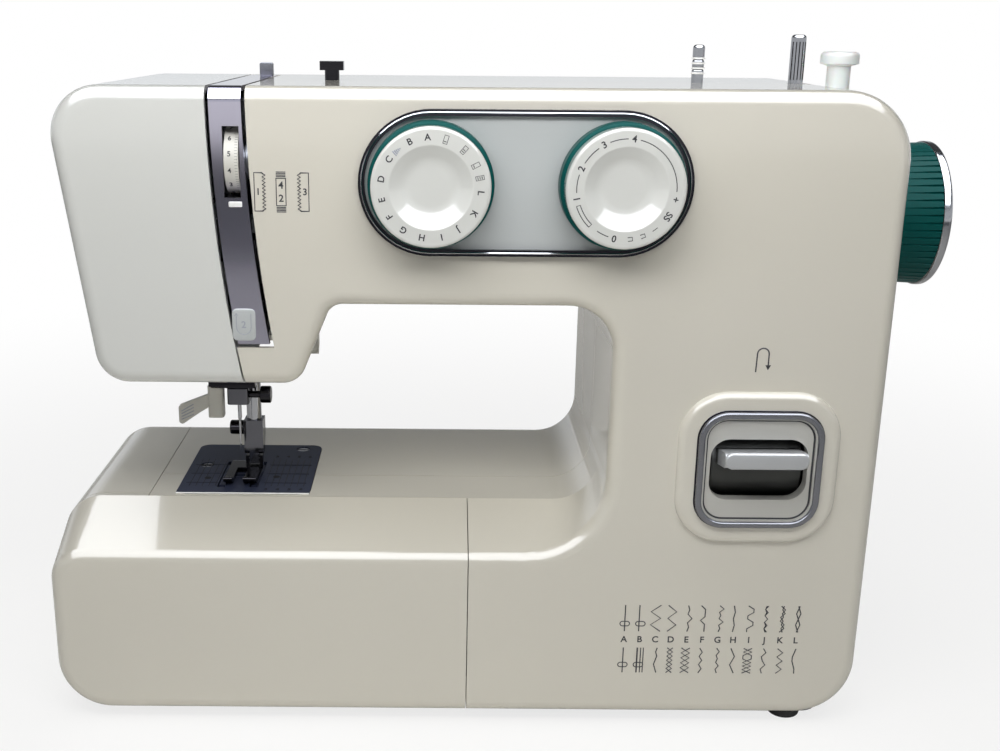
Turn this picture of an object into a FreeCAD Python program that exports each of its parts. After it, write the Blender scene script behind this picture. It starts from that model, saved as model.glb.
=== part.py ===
import FreeCAD, Part
import Sketcher
import math
import os
import re

# Free-arm sewing machine, millimetres, +Z up, +X to the handwheel, front at -Y.
# The origin lies on the table under the middle of the machine.

doc = FreeCAD.newDocument("sewing_machine")
sheet = doc.addObject("Spreadsheet::Sheet", "Dims")
V = FreeCAD.Vector
nodes = []

# Driving dimensions, each in its own aliased cell of the sheet
dims = {
    # Housing outline seen from the front
    "bed_left": -192.5,
    "pillar_right": 164,
    "body_front": -58.5,
    "body_back": 75.5,
    "foot_height": 5,
    "body_top": 279.3,
    "wall": 2.5,
    "edge_round": 6,
    "seam": 0.4,
    "parting": 0,
    "pillar_inner": 49.2,
    "arm_under": 192,
    "head_bottom": 158,
    "bed_top": 96.7,
    "head_left_top": -180.6,
    "head_left_low": -164.3,
    "head_inner_low": -81.5,
    "head_inner_top": -67.5,
    "crest_height": 81,
    "crest_left_round": 16,
    "shoulder_back": -28,
    "shoulder_base": 45,
    "top_right_round": 28,
    "base_right_round": 26,
    "head_top_round": 20,
    "head_low_round": 14,
    "head_inner_round": 10,
    "arm_head_round": 7,
    "arm_pillar_round": 19,
    "bed_pillar_round": 20,
    "bed_left_round": 18,
    "bed_base_round": 24,
    "margin": 20,
    # Free arm and the accessory box that wraps round it
    "box_seam": -9.3,
    "free_arm_front": -27.5,
    "free_arm_end": -153.8,
    "free_arm_low": 40,
    "lid_low": 80,
    "lid_front": -24.6,
    "plug_fit": 0.3,
    "base_inset": 7.8,
    "base_right": 152,
    "base_front": -54,
    "base_back": 66,
    "base_thick": 9,
    "base_round": 10,
    # Head: the face cover edge is a long arc, and the face strip follows it
    "face_edge": -115.5,
    "face_edge_z": 279,
    "face_arc": 640,
    "thread_slot": 1.6,
    "strip_width": 12.7,
    "strip_low": 176,
    "strip_back": 60,
    "face_seam": 0.8,
    "head_right": -60,
    "needle_door_left": -146,
    "needle_door_right": -97,
    "needle_door_front": -16,
    "needle_door_back": 18,
    # Main shaft, crank and handwheel
    "shaft_y": -2,
    "shaft_z": 224,
    "shaft_r": 5,
    "shaft_end": -93,
    "bush_r": 8,
    "bush_length": 10,
    "run_fit": 0.05,
    "left_bush_x": -88,
    "right_bush_x": 126,
    "crank_width": 7,
    "crank_r": 18,
    "stroke": 27,
    "crank_pin_r": 2.5,
    "link_width": 3,
    "link_gap": 0.5,
    "link_length": 32,
    "link_eye_r": 5,
    "wheel_face": 192.5,
    "wheel_gap": 2.5,
    "wheel_r": 31,
    "wheel_hub_r": 9,
    "wheel_ribs": 60,
    "rib_depth": 0.9,
    "ring_width": 4,
    "ring_thick": 6,
    "wheel_web": 5,
    "drive_pulley_x": 145,
    "pulley_width": 10,
    "drive_pulley_r": 30,
    "belt_thick": 2,
    "timing_x": 100,
    "timing_width": 10,
    "timing_r": 12,
    # Lower shaft, hook and motor
    "lower_y": 20,
    "lower_z": 68,
    "lower_r": 4,
    "lower_right": 122,
    "cone_reach": 16,
    "cone_face": 6,
    "gear_backlash": 0.6,
    "hook_r": 17,
    "hook_front": -22.6,
    "hook_back": -5.5,
    "hook_shaft_r": 3.5,
    "bobbin_r": 10,
    "bobbin_case_r": 11,
    "finger_front": -24.6,
    "finger_thick": 1,
    "motor_y": -26,
    "motor_z": 45,
    "motor_r": 25,
    "motor_left": 64,
    "motor_length": 70,
    "motor_pulley_r": 6,
    "motor_shaft_r": 3,
    "mount_left": 78,
    "mount_right": 122,
    "mount_front": -44,
    "mount_back": -8,
    "mount_high": 34,
    # Needle, presser foot and needle plate
    "needle_x": -115.5,
    "needle_bar_r": 3.2,
    "needle_bar_low": 136,
    "needle_bar_high": 249,
    "needle_tip": 109,
    "clamp_low": 133.5,
    "clamp_high": 141,
    "clamp_half": 5,
    "needle_r": 0.9,
    "screw_reach": 15,
    "knob_r": 4,
    "knob_width": 5,
    "presser_x": -110.5,
    "presser_y": 9,
    "presser_r": 3.5,
    "presser_low": 120,
    "presser_high": 240,
    "ankle_low": 105.2,
    "ankle_high": 122,
    "ankle_half": 4.5,
    "thumb_r": 3.4,
    "thumb_z": 117.5,
    "thumb_length": 7,
    "foot_left": -122,
    "foot_right": -107,
    "foot_front": -16.5,
    "foot_back": 12,
    "foot_thick": 2.6,
    "foot_pin_z": 102.6,
    "foot_pin_r": 1.2,
    "toe_slot": 5,
    "plate_left": -142.4,
    "plate_right": -81.4,
    "plate_front": -25,
    "plate_back": 41.4,
    "plate_thick": 2.5,
    "plate_proud": 0.4,
    "plate_round": 5,
    "plate_fit": 0.25,
    "feed_pitch": 9,
    "feed_width": 3,
    "feed_front": -14,
    "feed_back": 13,
    "feed_shift": 2.5,
    "guide_low": 162,
    "guide_thick": 6,
    "guide_high": 214,
    "guide_left": -131,
    "guide_right": -104.5,
    "guide_front": -10,
    "collar_low": 174.5,
    "collar_thick": 6,
    "lifter_x": -88.5,
    "lifter_width": 6.5,
    "lifter_y": 38,
    "lifter_z": 166,
    "lifter_r": 8,
    "lifter_tip_z": 145.5,
    "lifter_slot_back": 70,
    "threader_left": -129.5,
    "threader_right": -122.4,
    "threader_y": -3,
    "threader_low": 127,
    "threader_high": 142,
    "threader_lever": -143.5,
    "threader_thick": 3,
    "threader_rod_r": 2,
    "threader_rod_top": 196,
    "take_up_x": -114.7,
    "take_up_thick": 1.2,
    "take_up_y": -20,
    "take_up_z": 244,
    "take_up_r": 5,
    "take_up_arm": 27,
    # Casting inside the covers
    "cast_front": 44,
    "cast_back": 58,
    "cast_web": 4,
    "cast_rim": 6,
    "cast_round": 8,
    "cast_pillar_left": 66,
    "cast_right": 142,
    "cast_top": 268,
    "cast_left": -150,
    "cast_arm_low": 202,
    "cast_bed_top": 88,
    "cast_bed_low": 46,
    "cast_bed_left": -140,
    "lug_half": 12,
    # Dials, panel and reverse lever on the front
    "dial_mid": 10.7,
    "dial_pitch": 75,
    "dial_z": 242.5,
    "bezel_r": 28.8,
    "bezel_rim": 2.6,
    "bezel_proud": 3,
    "panel_proud": 1,
    "dial_r": 23.3,
    "skirt_r": 24.8,
    "skirt_high": 9,
    "dial_high": 15.7,
    "dish_r": 16.2,
    "dish_deep": 3.6,
    "dial_lift": 0.3,
    "dial_shaft_r": 4,
    "dial_shaft_back": -24,
    "tension_y": -46.5,
    "tension_z": 250,
    "tension_r": 13.5,
    "tension_left": -108.4,
    "tension_width": 5.6,
    "disc_r": 8,
    "tension_window_low": 236,
    "tension_window_high": 264,
    "tension_clear": 0.5,
    "reverse_x": 111.9,
    "reverse_z": 123.7,
    "reverse_wide": 52,
    "reverse_high": 51,
    "reverse_round": 12,
    "reverse_rim": 3.2,
    "reverse_open_wide": 41,
    "reverse_open_high": 27,
    "reverse_open_round": 8,
    "reverse_proud": 4,
    "boss_margin": 8,
    "boss_high": 3,
    "drum_y": -41,
    "drum_z": 122,
    "drum_r": 17,
    "drum_wide": 38,
    "paddle_wide": 34,
    "paddle_thick": 6.5,
    "paddle_reach": 32,
    "paddle_rise": 6.5,
    # Fittings on the top and the right side
    "pin_y": 4,
    "spool_x": 89,
    "spool_r": 2.6,
    "spool_sunk": 39.3,
    "spool_stand": 16.2,
    "winder_x": 132,
    "winder_r": 3.2,
    "winder_stand": 20.7,
    "winder_travel": 4.5,
    "winder_sunk": 17.3,
    "tyre_r": 11,
    "tyre_thick": 6,
    "stop_x": 150.5,
    "stop_cap_r": 8.2,
    "stop_neck_r": 5,
    "stop_sunk": 9.3,
    "stop_stand": 13.7,
    "stop_cap": 6,
    "post_x": -70.5,
    "post_half": 5.2,
    "post_deep": 4,
    "post_stand": 8.1,
    "post_cap": 3.8,
    "tab_x": -107,
    "tab_y": 40,
    "tab_wide": 6,
    "tab_high": 6,
    "tab_thick": 1.2,
    "inlet_y": 24,
    "inlet_z": 46,
    "inlet_wide": 30,
    "inlet_high": 24,
    "inlet_deep": 14,
    "flange": 1.6,
    "switch_y": -4,
    "switch_wide": 14,
    "switch_high": 21,
    "rocker_fit": 0.5,
    "rubber_r": 8,
    "foot_right_x": 137,
    "foot_left_x": -134,
    "foot_front_y": -45.5,
    "foot_back_y": 56,
    "foot_arm_y": -12,
    "lamp_x": -142,
    "lamp_y": 20,
    "lamp_z": 196,
    "lamp_r": 9,
    "lamp_length": 30,
}
for row, (alias, value) in enumerate(dims.items(), 1):
    sheet.set("A%d" % row, alias)
    sheet.set("B%d" % row, str(value))
    sheet.setAlias("B%d" % row, alias)
doc.recompute()


def ref(text):
    """Turn plain size names into references to the sheet."""
    return re.sub(r"[A-Za-z_]\w*", lambda m: m.group(0) if m.group(0) in ("sqrt", "sin",
            "cos") else "Dims." + m.group(0), text)


def num(text):
    return float(sheet.evalExpression(ref(text)))


def bind(obj, **props):
    for prop, text in props.items():
        obj.setExpression(prop.replace("__", "."), ref(text))
    return obj


def place(obj, x="0", y="0", z="0", turn=None):
    if turn is not None:
        obj.Placement = FreeCAD.Placement(V(), turn)
    return bind(obj, Placement__Base__x=x, Placement__Base__y=y, Placement__Base__z=z)


ALONG_X = FreeCAD.Rotation(V(0, 1, 0), 90)
ALONG_Y = FreeCAD.Rotation(V(1, 0, 0), -90)
TO_FRONT = FreeCAD.Rotation(V(1, 0, 0), 90)
UPRIGHT = FreeCAD.Rotation()


def add(kind, name):
    return doc.addObject(kind, name)


def slab(name, x, y, z):
    """A block between two planes on each axis."""
    box = bind(add("Part::Box", name), Length="%s - (%s)" % (x[1], x[0]),
               Width="%s - (%s)" % (y[1], y[0]), Height="%s - (%s)" % (z[1], z[0]))
    return place(box, x[0], y[0], z[0])


def rod(name, turn, start, radius, length):
    rod_ = bind(add("Part::Cylinder", name), Radius=radius, Height=length)
    return place(rod_, *start, turn=turn)


def fuse(name, *shapes):
    joined = add("Part::MultiFuse", name)
    joined.Shapes = list(shapes)
    return joined


def cut(name, base, *tools):
    made = add("Part::Cut", name)
    made.Base = base
    made.Tool = tools[0] if len(tools) == 1 else fuse(name + "_tools", *tools)
    return made


def common(name, base, tool):
    made = add("Part::Common", name)
    made.Base = base
    made.Tool = tool
    return made


def group(name, *shapes):
    """Several separate solids that share one node."""
    made = add("Part::Compound", name)
    made.Links = list(shapes)
    return made


def node(obj, label):
    obj.Label = label
    nodes.append(obj)
    return obj


def body(name):
    return add("PartDesign::Body", name)


def corner_spans(points):
    """Start, end, centre and sense of the round at each corner of an outline."""
    spans = []
    for i, (x, y, r) in enumerate(points):
        at = V(x, y)
        back = V(*points[i - 1][:2]) - at
        on = V(*points[(i + 1) % len(points)][:2]) - at
        if not r:
            spans.append((at, at, None, True))
            continue
        left = on.cross(back).z > 0
        back.normalize()
        on.normalize()
        half = math.acos(back.dot(on)) / 2
        centre = at + (back + on).normalize() * (r / math.sin(half))
        reach = r / math.tan(half)
        spans.append((at + back * reach, at + on * reach, centre, left))
    return spans


def outline(sk, corners):
    """Draw a closed outline of lines with a tangent arc at each rounded corner.

    A corner is (x, y) or (x, y, radius), each an expression on the sheet's sizes."""
    points = [(num(c[0]), num(c[1]), num(c[2]) if len(c) > 2 else 0) for c in corners]
    spans = corner_spans(points)
    count = len(points)

    def tie(kind, *args, to=None):
        index = sk.addConstraint(Sketcher.Constraint(kind, *args))
        if to is not None:
            sk.setExpression("Constraints[%d]" % index, ref(to))

    lines = [sk.addGeometry(Part.LineSegment(spans[i][1], spans[(i + 1) % count][0])) for i in range(count)]
    for i, (start, end, centre, left) in enumerate(spans):
        before, after = lines[i - 1], lines[i]
        mark = after
        if centre is None:
            tie("Coincident", before, 2, after, 1)
        else:
            mark = sk.addGeometry(Part.Point(V(*points[i][:2])), True)
            first, last = (start, end) if left else (end, start)
            begin = math.atan2(first.y - centre.y, first.x - centre.x)
            finish = math.atan2(last.y - centre.y, last.x - centre.x)
            if finish <= begin:
                finish += 2 * math.pi
            circle = Part.Circle(centre, V(0, 0, 1), points[i][2])
            arc = sk.addGeometry(Part.ArcOfCircle(circle, begin, finish))
            tie("Tangent", before, 2, arc, 1 if left else 2)
            tie("Tangent", after, 1, arc, 2 if left else 1)
            tie("PointOnObject", mark, 1, before)
            tie("PointOnObject", mark, 1, after)
            tie("Radius", arc, points[i][2], to=corners[i][2])
        tie("DistanceX", -1, 1, mark, 1, points[i][0], to=corners[i][0])
        tie("DistanceY", -1, 1, mark, 1, points[i][1], to=corners[i][1])


def sketch(owner, name, on, offset, corners):
    sk = owner.newObject("Sketcher::SketchObject", name)
    for feature in owner.Origin.OriginFeatures:
        if feature.Role == on + "_Plane":
            sk.AttachmentSupport = (feature, [""])
    sk.MapMode = "FlatFace"
    bind(sk, AttachmentOffset__Base__z=offset)
    outline(sk, corners)
    return sk


def feature(owner, kind, name, profile, **props):
    made = owner.newObject("PartDesign::" + kind, name)
    made.Profile = profile
    return bind(made, **props)


def pad_x(owner, name, corners, low, high):
    """Pad an outline given in (y, z) from one x to another."""
    sk = sketch(owner, name + "_outline", "YZ", low, corners)
    return feature(owner, "Pad", name + "_pad", sk, Length="%s - (%s)" % (high, low))


def pad_y(owner, name, corners, front, back):
    """Pad an outline given in (x, z) from the back plane to the front plane."""
    sk = sketch(owner, name + "_outline", "XZ", "-(%s)" % back, corners)
    return feature(owner, "Pad", name + "_pad", sk, Length="%s - (%s)" % (back, front))


def pad_z(owner, name, corners, low, high):
    """Pad an outline given in (x, y) from one height to another."""
    sk = sketch(owner, name + "_outline", "XY", low, corners)
    return feature(owner, "Pad", name + "_pad", sk, Length="%s - (%s)" % (high, low))


def turned(name, corners, start, turn):
    """Revolve an outline given in (radius, height) and lay its axis along the turn."""
    owner = body(name)
    sk = sketch(owner, name + "_outline", "XZ", "0", corners)
    made = owner.newObject("PartDesign::Revolution", name + "_turned")
    made.Profile = sk
    made.ReferenceAxis = (sk, ["V_Axis"])
    made.Angle = 360
    return place(owner, *start, turn=turn)


def tube(low, high, inner, outer):
    return [(inner, low), (outer, low), (outer, high), (inner, high)]


def rect(x0, x1, y0, y1, r=None):
    spots = [(x0, y0), (x1, y0), (x1, y1), (x0, y1)]
    return [spot + (r,) for spot in spots] if r else spots


def centred(x, y, wide, high, r):
    return rect("%s - (%s) / 2" % (x, wide), "%s + (%s) / 2" % (x, wide),
                "%s - (%s) / 2" % (y, high), "%s + (%s) / 2" % (y, high), r)


# Housing form: one moulded outline with a swept shoulder along the bed and up the pillar

def form(name, skin):
    """The outside of the housing, or its hollow when the skin is the wall."""
    owner = body(name + "_body")
    add_skin = " + " + skin
    less = " - " + skin
    profile = [
        ("bed_left" + add_skin, "foot_height" + add_skin, "bed_base_round" + less),
        ("pillar_right" + less, "foot_height" + add_skin, "base_right_round" + less),
        ("pillar_right" + less, "body_top" + less, "top_right_round" + less),
        ("head_left_top" + add_skin, "body_top" + less, "head_top_round" + less),
        ("head_left_low" + add_skin, "head_bottom" + add_skin, "head_low_round" + less),
        ("head_inner_low" + less, "head_bottom" + add_skin, "head_inner_round" + less),
        ("head_inner_top" + less, "arm_under" + add_skin, "arm_head_round" + add_skin),
        ("pillar_inner" + add_skin, "arm_under" + add_skin, "arm_pillar_round" + add_skin),
        ("pillar_inner" + add_skin, "bed_top" + less, "bed_pillar_round" + add_skin),
        ("bed_left" + add_skin, "bed_top" + less, "bed_left_round" + less)]
    pad_y(owner, name, profile, "body_front" + add_skin, "body_back" + less)
    far = "bed_left - margin"
    over = "bed_top + 2 * bed_pillar_round"
    inner_round = "bed_pillar_round" + add_skin

    def clearing(tag, y, low, sweep, corner):
        return sketch(owner, name + tag, "XZ", "-(%s)" % y, [
            (far, "shoulder_base"), ("bed_left" + add_skin, "shoulder_base"),
            ("bed_left" + add_skin, low + less, corner + less),
            ("pillar_inner" + add_skin, low + less, sweep),
            ("pillar_inner" + add_skin, over), (far, over)])

    sweep_front = inner_round + " + bed_top - crest_height"
    front = clearing("_crest", "body_front" + add_skin, "crest_height", sweep_front, "crest_left_round")
    back = clearing("_bed_edge", "shoulder_back", "bed_top", inner_round, "bed_left_round")
    shoulder = feature(owner, "SubtractiveLoft", name + "_shoulder", front)
    shoulder.Sections = [back]
    shoulder.Ruled = True
    doc.recompute()
    ends = (num("body_front" + add_skin), num("body_back" + less))
    rims = [i for i, edge in enumerate(shoulder.Shape.Edges, 1)
            if any(abs(edge.BoundBox.YMin - y) + abs(edge.BoundBox.YMax - y) < 1e-3 for y in ends)]
    rounded = owner.newObject("PartDesign::Fillet", name + "_rims")
    rounded.Base = (shoulder, ["Edge%d" % i for i in rims])
    bind(rounded, Radius="edge_round" + less)
    return owner


outer = form("outer_form", "0")
hollow = form("inner_form", "wall")
DEPTH = ("body_front - margin", "body_back + margin")
HARP = "(bed_top + arm_under) / 2"


def free_arm_space(name, skin):
    """All that lies outside the free arm on the left of the box seam."""
    left = "bed_left - margin"
    return fuse(name,
                slab(name + "_front", (left, "box_seam" + skin), (DEPTH[0], "free_arm_front" + skin),
                     ("0", HARP)),
                slab(name + "_end", (left, "free_arm_end" + skin), DEPTH, ("0", HARP)),
                slab(name + "_under", (left, "box_seam" + skin), DEPTH, ("0", "free_arm_low" + skin)))


housing = cut("housing", outer, free_arm_space("arm_space", " + 0"))
housing_hollow = cut("housing_hollow", hollow, free_arm_space("arm_space_inside", " + wall"))
shell = cut("housing_shell", housing, housing_hollow)

# Head split: face cover, face strip and the main covers


def face_rod(name, inset):
    """The long arc of the face edge, moved to the right by an inset."""
    return rod(name, ALONG_Y, ("face_edge + face_arc", DEPTH[0], "face_edge_z"), "face_arc - (%s)" % inset,
               "body_back - body_front + 2 * margin")


def head_zone(name, low, back):
    return slab(name, ("head_left_top - margin", "head_right"), (DEPTH[0], back),
                (low, "body_top + margin"))


needle_door = slab("needle_door", ("needle_door_left", "needle_door_right"),
                   ("needle_door_front", "needle_door_back"),
                   ("head_bottom - wall", "head_bottom + 2 * wall"))
face_zone = cut("face_zone", head_zone("face_head", HARP, DEPTH[1]), face_rod("face_edge_rod", "0"))
face_shell = common("face_shell", shell, face_zone)
node(cut("face_cover", face_shell, needle_door), "face_cover")

strip_zone = cut("strip_zone", common("strip_left", head_zone("strip_head", "strip_low", "strip_back"),
                                      face_rod("strip_left_rod", "thread_slot")),
                 face_rod("strip_right_rod", "thread_slot + strip_width"))
tension_window = slab("tension_window", ("tension_left - tension_clear",
                                         "tension_left + tension_width + tension_clear"),
                      (DEPTH[0], "tension_y"), ("tension_window_low", "tension_window_high"))
node(cut("face_strip", common("strip_shell", shell, strip_zone), tension_window), "face_strip")

beside_face = cut("beside_face", head_zone("cover_head", HARP, DEPTH[1]),
                  face_rod("cover_edge_rod", "face_seam"))
slot_zone = cut("slot_zone", head_zone("slot_head", "strip_low - thread_slot", "strip_back + thread_slot"),
                face_rod("slot_right_rod", "2 * thread_slot + strip_width"))
covers = cut("covers", shell, beside_face, slot_zone)

# Openings through the covers
LEFT_DIAL = "dial_mid - dial_pitch / 2"
RIGHT_DIAL = "dial_mid + dial_pitch / 2"


def stadium(r):
    """The dial panel's outline: two dial-sized ends joined by straight sides."""
    return centred("dial_mid", "dial_z", "dial_pitch + 2 * (%s)" % r, "2 * (%s)" % r, "(%s) * 0.9999" % r)


panel_hole = body("panel_hole")
pad_y(panel_hole, "panel_hole", stadium("bezel_r"), "body_front - margin", "body_front + 2 * wall")
reverse_hole = body("reverse_hole")
pad_y(reverse_hole, "reverse_hole", centred("reverse_x", "reverse_z", "reverse_wide", "reverse_high",
                                            "reverse_round"),
      "body_front - margin", "body_front + 2 * wall")
plate_hole = body("plate_hole")
pad_z(plate_hole, "plate_hole", rect("plate_left - plate_fit", "plate_right + plate_fit",
                                     "plate_front - plate_fit",
                                     "plate_back + plate_fit", "plate_round + plate_fit"),
      "bed_top - 2 * wall", "bed_top + wall")
TOP = ("body_top - 2 * wall", "body_top + wall")
spool_hole = rod("spool_hole", UPRIGHT, ("spool_x", "pin_y", TOP[0]), "spool_r + run_fit", "3 * wall")
winder_slot = body("winder_slot")
pad_z(winder_slot, "winder_slot", rect("winder_x - winder_r - plug_fit",
                                       "winder_x + winder_travel + winder_r + plug_fit",
                                       "pin_y - winder_r - plug_fit", "pin_y + winder_r + plug_fit",
                                       "winder_r"), *TOP)
stop_hole = rod("stop_hole", UPRIGHT, ("stop_x", "pin_y", "body_top - stop_sunk"), "stop_neck_r", "margin")
shaft_hole = rod("shaft_hole", ALONG_X, ("pillar_right - 2 * wall", "shaft_y", "shaft_z"),
                 "wheel_hub_r + wall", "3 * wall")
SIDE = ("pillar_right - 2 * wall", "pillar_right + wall")
inlet_hole = slab("inlet_hole", SIDE, ("inlet_y - inlet_wide / 2", "inlet_y + inlet_wide / 2"),
                  ("inlet_z - inlet_high / 2", "inlet_z + inlet_high / 2"))
switch_hole = slab("switch_hole", SIDE, ("switch_y - switch_wide / 2", "switch_y + switch_wide / 2"),
                   ("inlet_z - switch_high / 2", "inlet_z + switch_high / 2"))
lifter_slot = slab("lifter_slot", ("lifter_x - plug_fit", "lifter_x + lifter_width + plug_fit"),
                   ("lifter_y - lifter_r", "lifter_slot_back"),
                   ("head_bottom - wall", "lifter_z + lifter_r"))


# The base runs on under the free arm, clear of the accessory box
BASE = [("free_arm_end + base_inset", "free_arm_front + wall", "base_round"),
        ("box_seam + wall", "free_arm_front + wall", "base_round / 2"),
        ("box_seam + wall", "base_front", "base_round / 2"), ("base_right", "base_front", "base_round"),
        ("base_right", "base_back", "base_round"), ("free_arm_end + base_inset", "base_back", "base_round")]


base_hole = body("base_hole")
pad_z(base_hole, "base_hole", BASE, "0", "foot_height + base_thick")
boss = body("reverse_boss")
boss_pad = pad_y(boss, "reverse_boss", centred("reverse_x", "reverse_z", "reverse_wide + 2 * boss_margin",
                                               "reverse_high + 2 * boss_margin",
                                               "reverse_round + boss_margin"),
                 "body_front - boss_high", "body_front + wall / 2")
doc.recompute()
boss_front = num("body_front - boss_high")
boss_rim = [i for i, e in enumerate(boss_pad.Shape.Edges, 1) if abs(e.BoundBox.YMax - boss_front) < 1e-3]
boss_soft = boss.newObject("PartDesign::Fillet", "reverse_boss_soft")
boss_soft.Base = (boss_pad, ["Edge%d" % i for i in boss_rim])
bind(boss_soft, Radius="boss_high")

side_openings = fuse("openings", needle_door, panel_hole, reverse_hole, plate_hole, spool_hole, winder_slot,
                     stop_hole,
                     shaft_hole, inlet_hole, switch_hole, lifter_slot, base_hole)
front_half = slab("front_half", ("bed_left - margin", "pillar_right + margin"),
                  (DEPTH[0], "parting - seam / 2"),
                  ("0", "body_top + margin"))
rear_half = slab("rear_half", ("bed_left - margin", "pillar_right + margin"),
                 ("parting + seam / 2", DEPTH[1]),
                 ("0", "body_top + margin"))
front_blank = fuse("front_blank", common("front_shell", covers, front_half), boss)
node(cut("front_cover", front_blank, side_openings), "front_cover")
node(cut("rear_cover", common("rear_shell", covers, rear_half), side_openings), "rear_cover")
base = body("base_plate")
pad_z(base, "base_plate", BASE, "foot_height", "foot_height + base_thick")
node(base, "base_plate")

# Accessory box: an L-shaped bin round the free arm, with a lid at its left end


def box_zone(name, skin):
    left = "bed_left - margin"
    return fuse(name,
                slab(name + "_front", (left, "box_seam - seam - " + skin),
                     (DEPTH[0], "free_arm_front - seam - " + skin), ("0", HARP)),
                slab(name + "_end", (left, "free_arm_end - seam - " + skin), DEPTH, ("0", HARP)))


box_shell = cut("box_shell", common("box_solid", outer, box_zone("box_reach", "0")),
                common("box_bin", hollow, box_zone("box_inside", "wall")))


def lid_zone(name, gap):
    return slab(name, ("bed_left - margin", "free_arm_end"), ("lid_front - " + gap, DEPTH[1]),
                ("lid_low - " + gap, HARP))


node(cut("accessory_box", box_shell, lid_zone("lid_mouth", "seam")), "accessory_box")
node(common("accessory_lid", box_shell, lid_zone("lid_reach", "0")), "accessory_lid")

# Dial panel, bezel and the two dials
panel = body("dial_panel_sheet")
pad_y(panel, "dial_panel", stadium("bezel_r - bezel_rim"), "body_front - panel_proud", "body_front + wall")
shaft_holes = [rod("dial_hole_%d" % i, TO_FRONT, (x, "body_front + 2 * wall", "dial_z"),
                   "dial_shaft_r + plug_fit", "margin")
               for i, x in enumerate((LEFT_DIAL, RIGHT_DIAL))]
node(cut("dial_panel", panel, *shaft_holes), "dial_panel")
bezel = body("dial_bezel_block")
pad_y(bezel, "dial_bezel", stadium("bezel_r"), "body_front - bezel_proud", "body_front + wall")
bezel_bore = body("dial_bezel_bore")
pad_y(bezel_bore, "dial_bezel_bore", stadium("bezel_r - bezel_rim"), "body_front - margin",
      "body_front + margin")
node(cut("dial_bezel", bezel, bezel_bore), "dial_bezel")


def dial(name, x):
    """A white dished face on a coloured skirt, with a shaft to the bracket inside."""
    start = (x, "body_front - panel_proud - dial_lift", "dial_z")
    face = turned(name + "_face", [("0", "skirt_high"), ("dial_r", "skirt_high"),
                                   ("dial_r", "dial_high", "1.4"),
                                   ("dish_r", "dial_high", "1.2"),
                                   ("dish_r * 0.62", "dial_high - dish_deep", "dish_r * 0.5"),
                                   ("0", "dial_high - dish_deep")], start, TO_FRONT)
    node(face, name)
    reach = "body_front - panel_proud - dial_lift - dial_shaft_back"
    skirt = turned(name + "_skirt_turned", [("0", reach), ("dial_shaft_r", reach), ("dial_shaft_r", "0"),
                                            ("skirt_r", "0", "1"),
                                            ("skirt_r", "skirt_high", "1.5"), ("0", "skirt_high")], start,
                                            TO_FRONT)
    node(skirt, name + "_skirt")


dial("pattern_dial", LEFT_DIAL)
dial("length_dial", RIGHT_DIAL)
bracket_front = slab("bracket_front", (LEFT_DIAL + " - bush_r", RIGHT_DIAL + " + bush_r"),
                     ("dial_shaft_back - 2 * wall", "dial_shaft_back"),
                     ("dial_z - bush_r", "dial_z + bush_r"))
bracket_arms = [slab("bracket_arm_%d" % i, (x + " - wall", x + " + wall"),
                     ("dial_shaft_back - wall", "cast_front"),
                     ("dial_z - wall", "dial_z + bush_r")) for i, x in enumerate((LEFT_DIAL, RIGHT_DIAL))]
bracket_bores = [rod("bracket_bore_%d" % i, TO_FRONT, (x, "dial_shaft_back + run_fit", "dial_z"),
                     "dial_shaft_r + run_fit",
                     "2 * wall + 2 * run_fit") for i, x in enumerate((LEFT_DIAL, RIGHT_DIAL))]

# Thread tension: numbered thumbwheel in the strip's window, with its stud and discs
MID_TENSION = "tension_left + tension_width / 2"
tension = turned("tension_wheel", tube("0", "tension_width", "shaft_r + run_fit", "tension_r"),
                 ("tension_left", "tension_y", "tension_z"), ALONG_X)
node(tension, "tension_dial")
stud = rod("tension_stud_rod", ALONG_X, ("tension_left - 1", "tension_y", "tension_z"), "shaft_r",
           "left_bush_x - tension_left")
discs = [rod("tension_disc_%d" % i, ALONG_X, (x, "tension_y", "tension_z"), "disc_r", "1")
         for i, x in enumerate(("tension_left + tension_width + seam",
                                "tension_left + tension_width + seam + 1.6"))]
stud_arm = slab("tension_arm", ("left_bush_x - 4", "left_bush_x + 2"),
                ("tension_y - shaft_r", "cast_front"),
                ("tension_z + 1", "tension_z + shaft_r + 3"))
node(fuse("tension_stud", stud, stud_arm, *discs), "tension_stud")

# Reverse lever: bezel, drum and paddle
reverse_block = body("reverse_bezel_block")
pad_y(reverse_block, "reverse_bezel", centred("reverse_x", "reverse_z", "reverse_wide", "reverse_high",
                                              "reverse_round"),
      "body_front - reverse_proud", "body_front + wall")
reverse_bore = body("reverse_bore")
pad_y(reverse_bore, "reverse_bore", centred("reverse_x", "reverse_z", "reverse_open_wide",
                                            "reverse_open_high",
                                            "reverse_open_round"), "body_front - margin",
                                            "body_front + margin")
reverse_step = body("reverse_step")
pad_y(reverse_step, "reverse_step", centred("reverse_x", "reverse_z", "reverse_wide - 2 * reverse_rim",
                                            "reverse_high - 2 * reverse_rim",
                                            "reverse_round - reverse_rim"),
      "body_front - margin", "body_front - reverse_proud + 1.2")
node(cut("reverse_bezel", reverse_block, reverse_bore, reverse_step), "reverse_bezel")
drum = rod("reverse_drum", ALONG_X, ("reverse_x - drum_wide / 2", "drum_y", "drum_z"), "drum_r - seam",
           "drum_wide")
paddle = body("reverse_paddle")
pad_x(paddle, "reverse_paddle", [("drum_y - paddle_reach", "drum_z + paddle_rise", "2.5"),
                                 ("drum_y", "drum_z"),
                                 ("drum_y", "drum_z + paddle_thick"),
                                 ("drum_y - paddle_reach", "drum_z + paddle_rise + paddle_thick", "2.5")],
      "reverse_x - paddle_wide / 2", "reverse_x + paddle_wide / 2")
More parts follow.
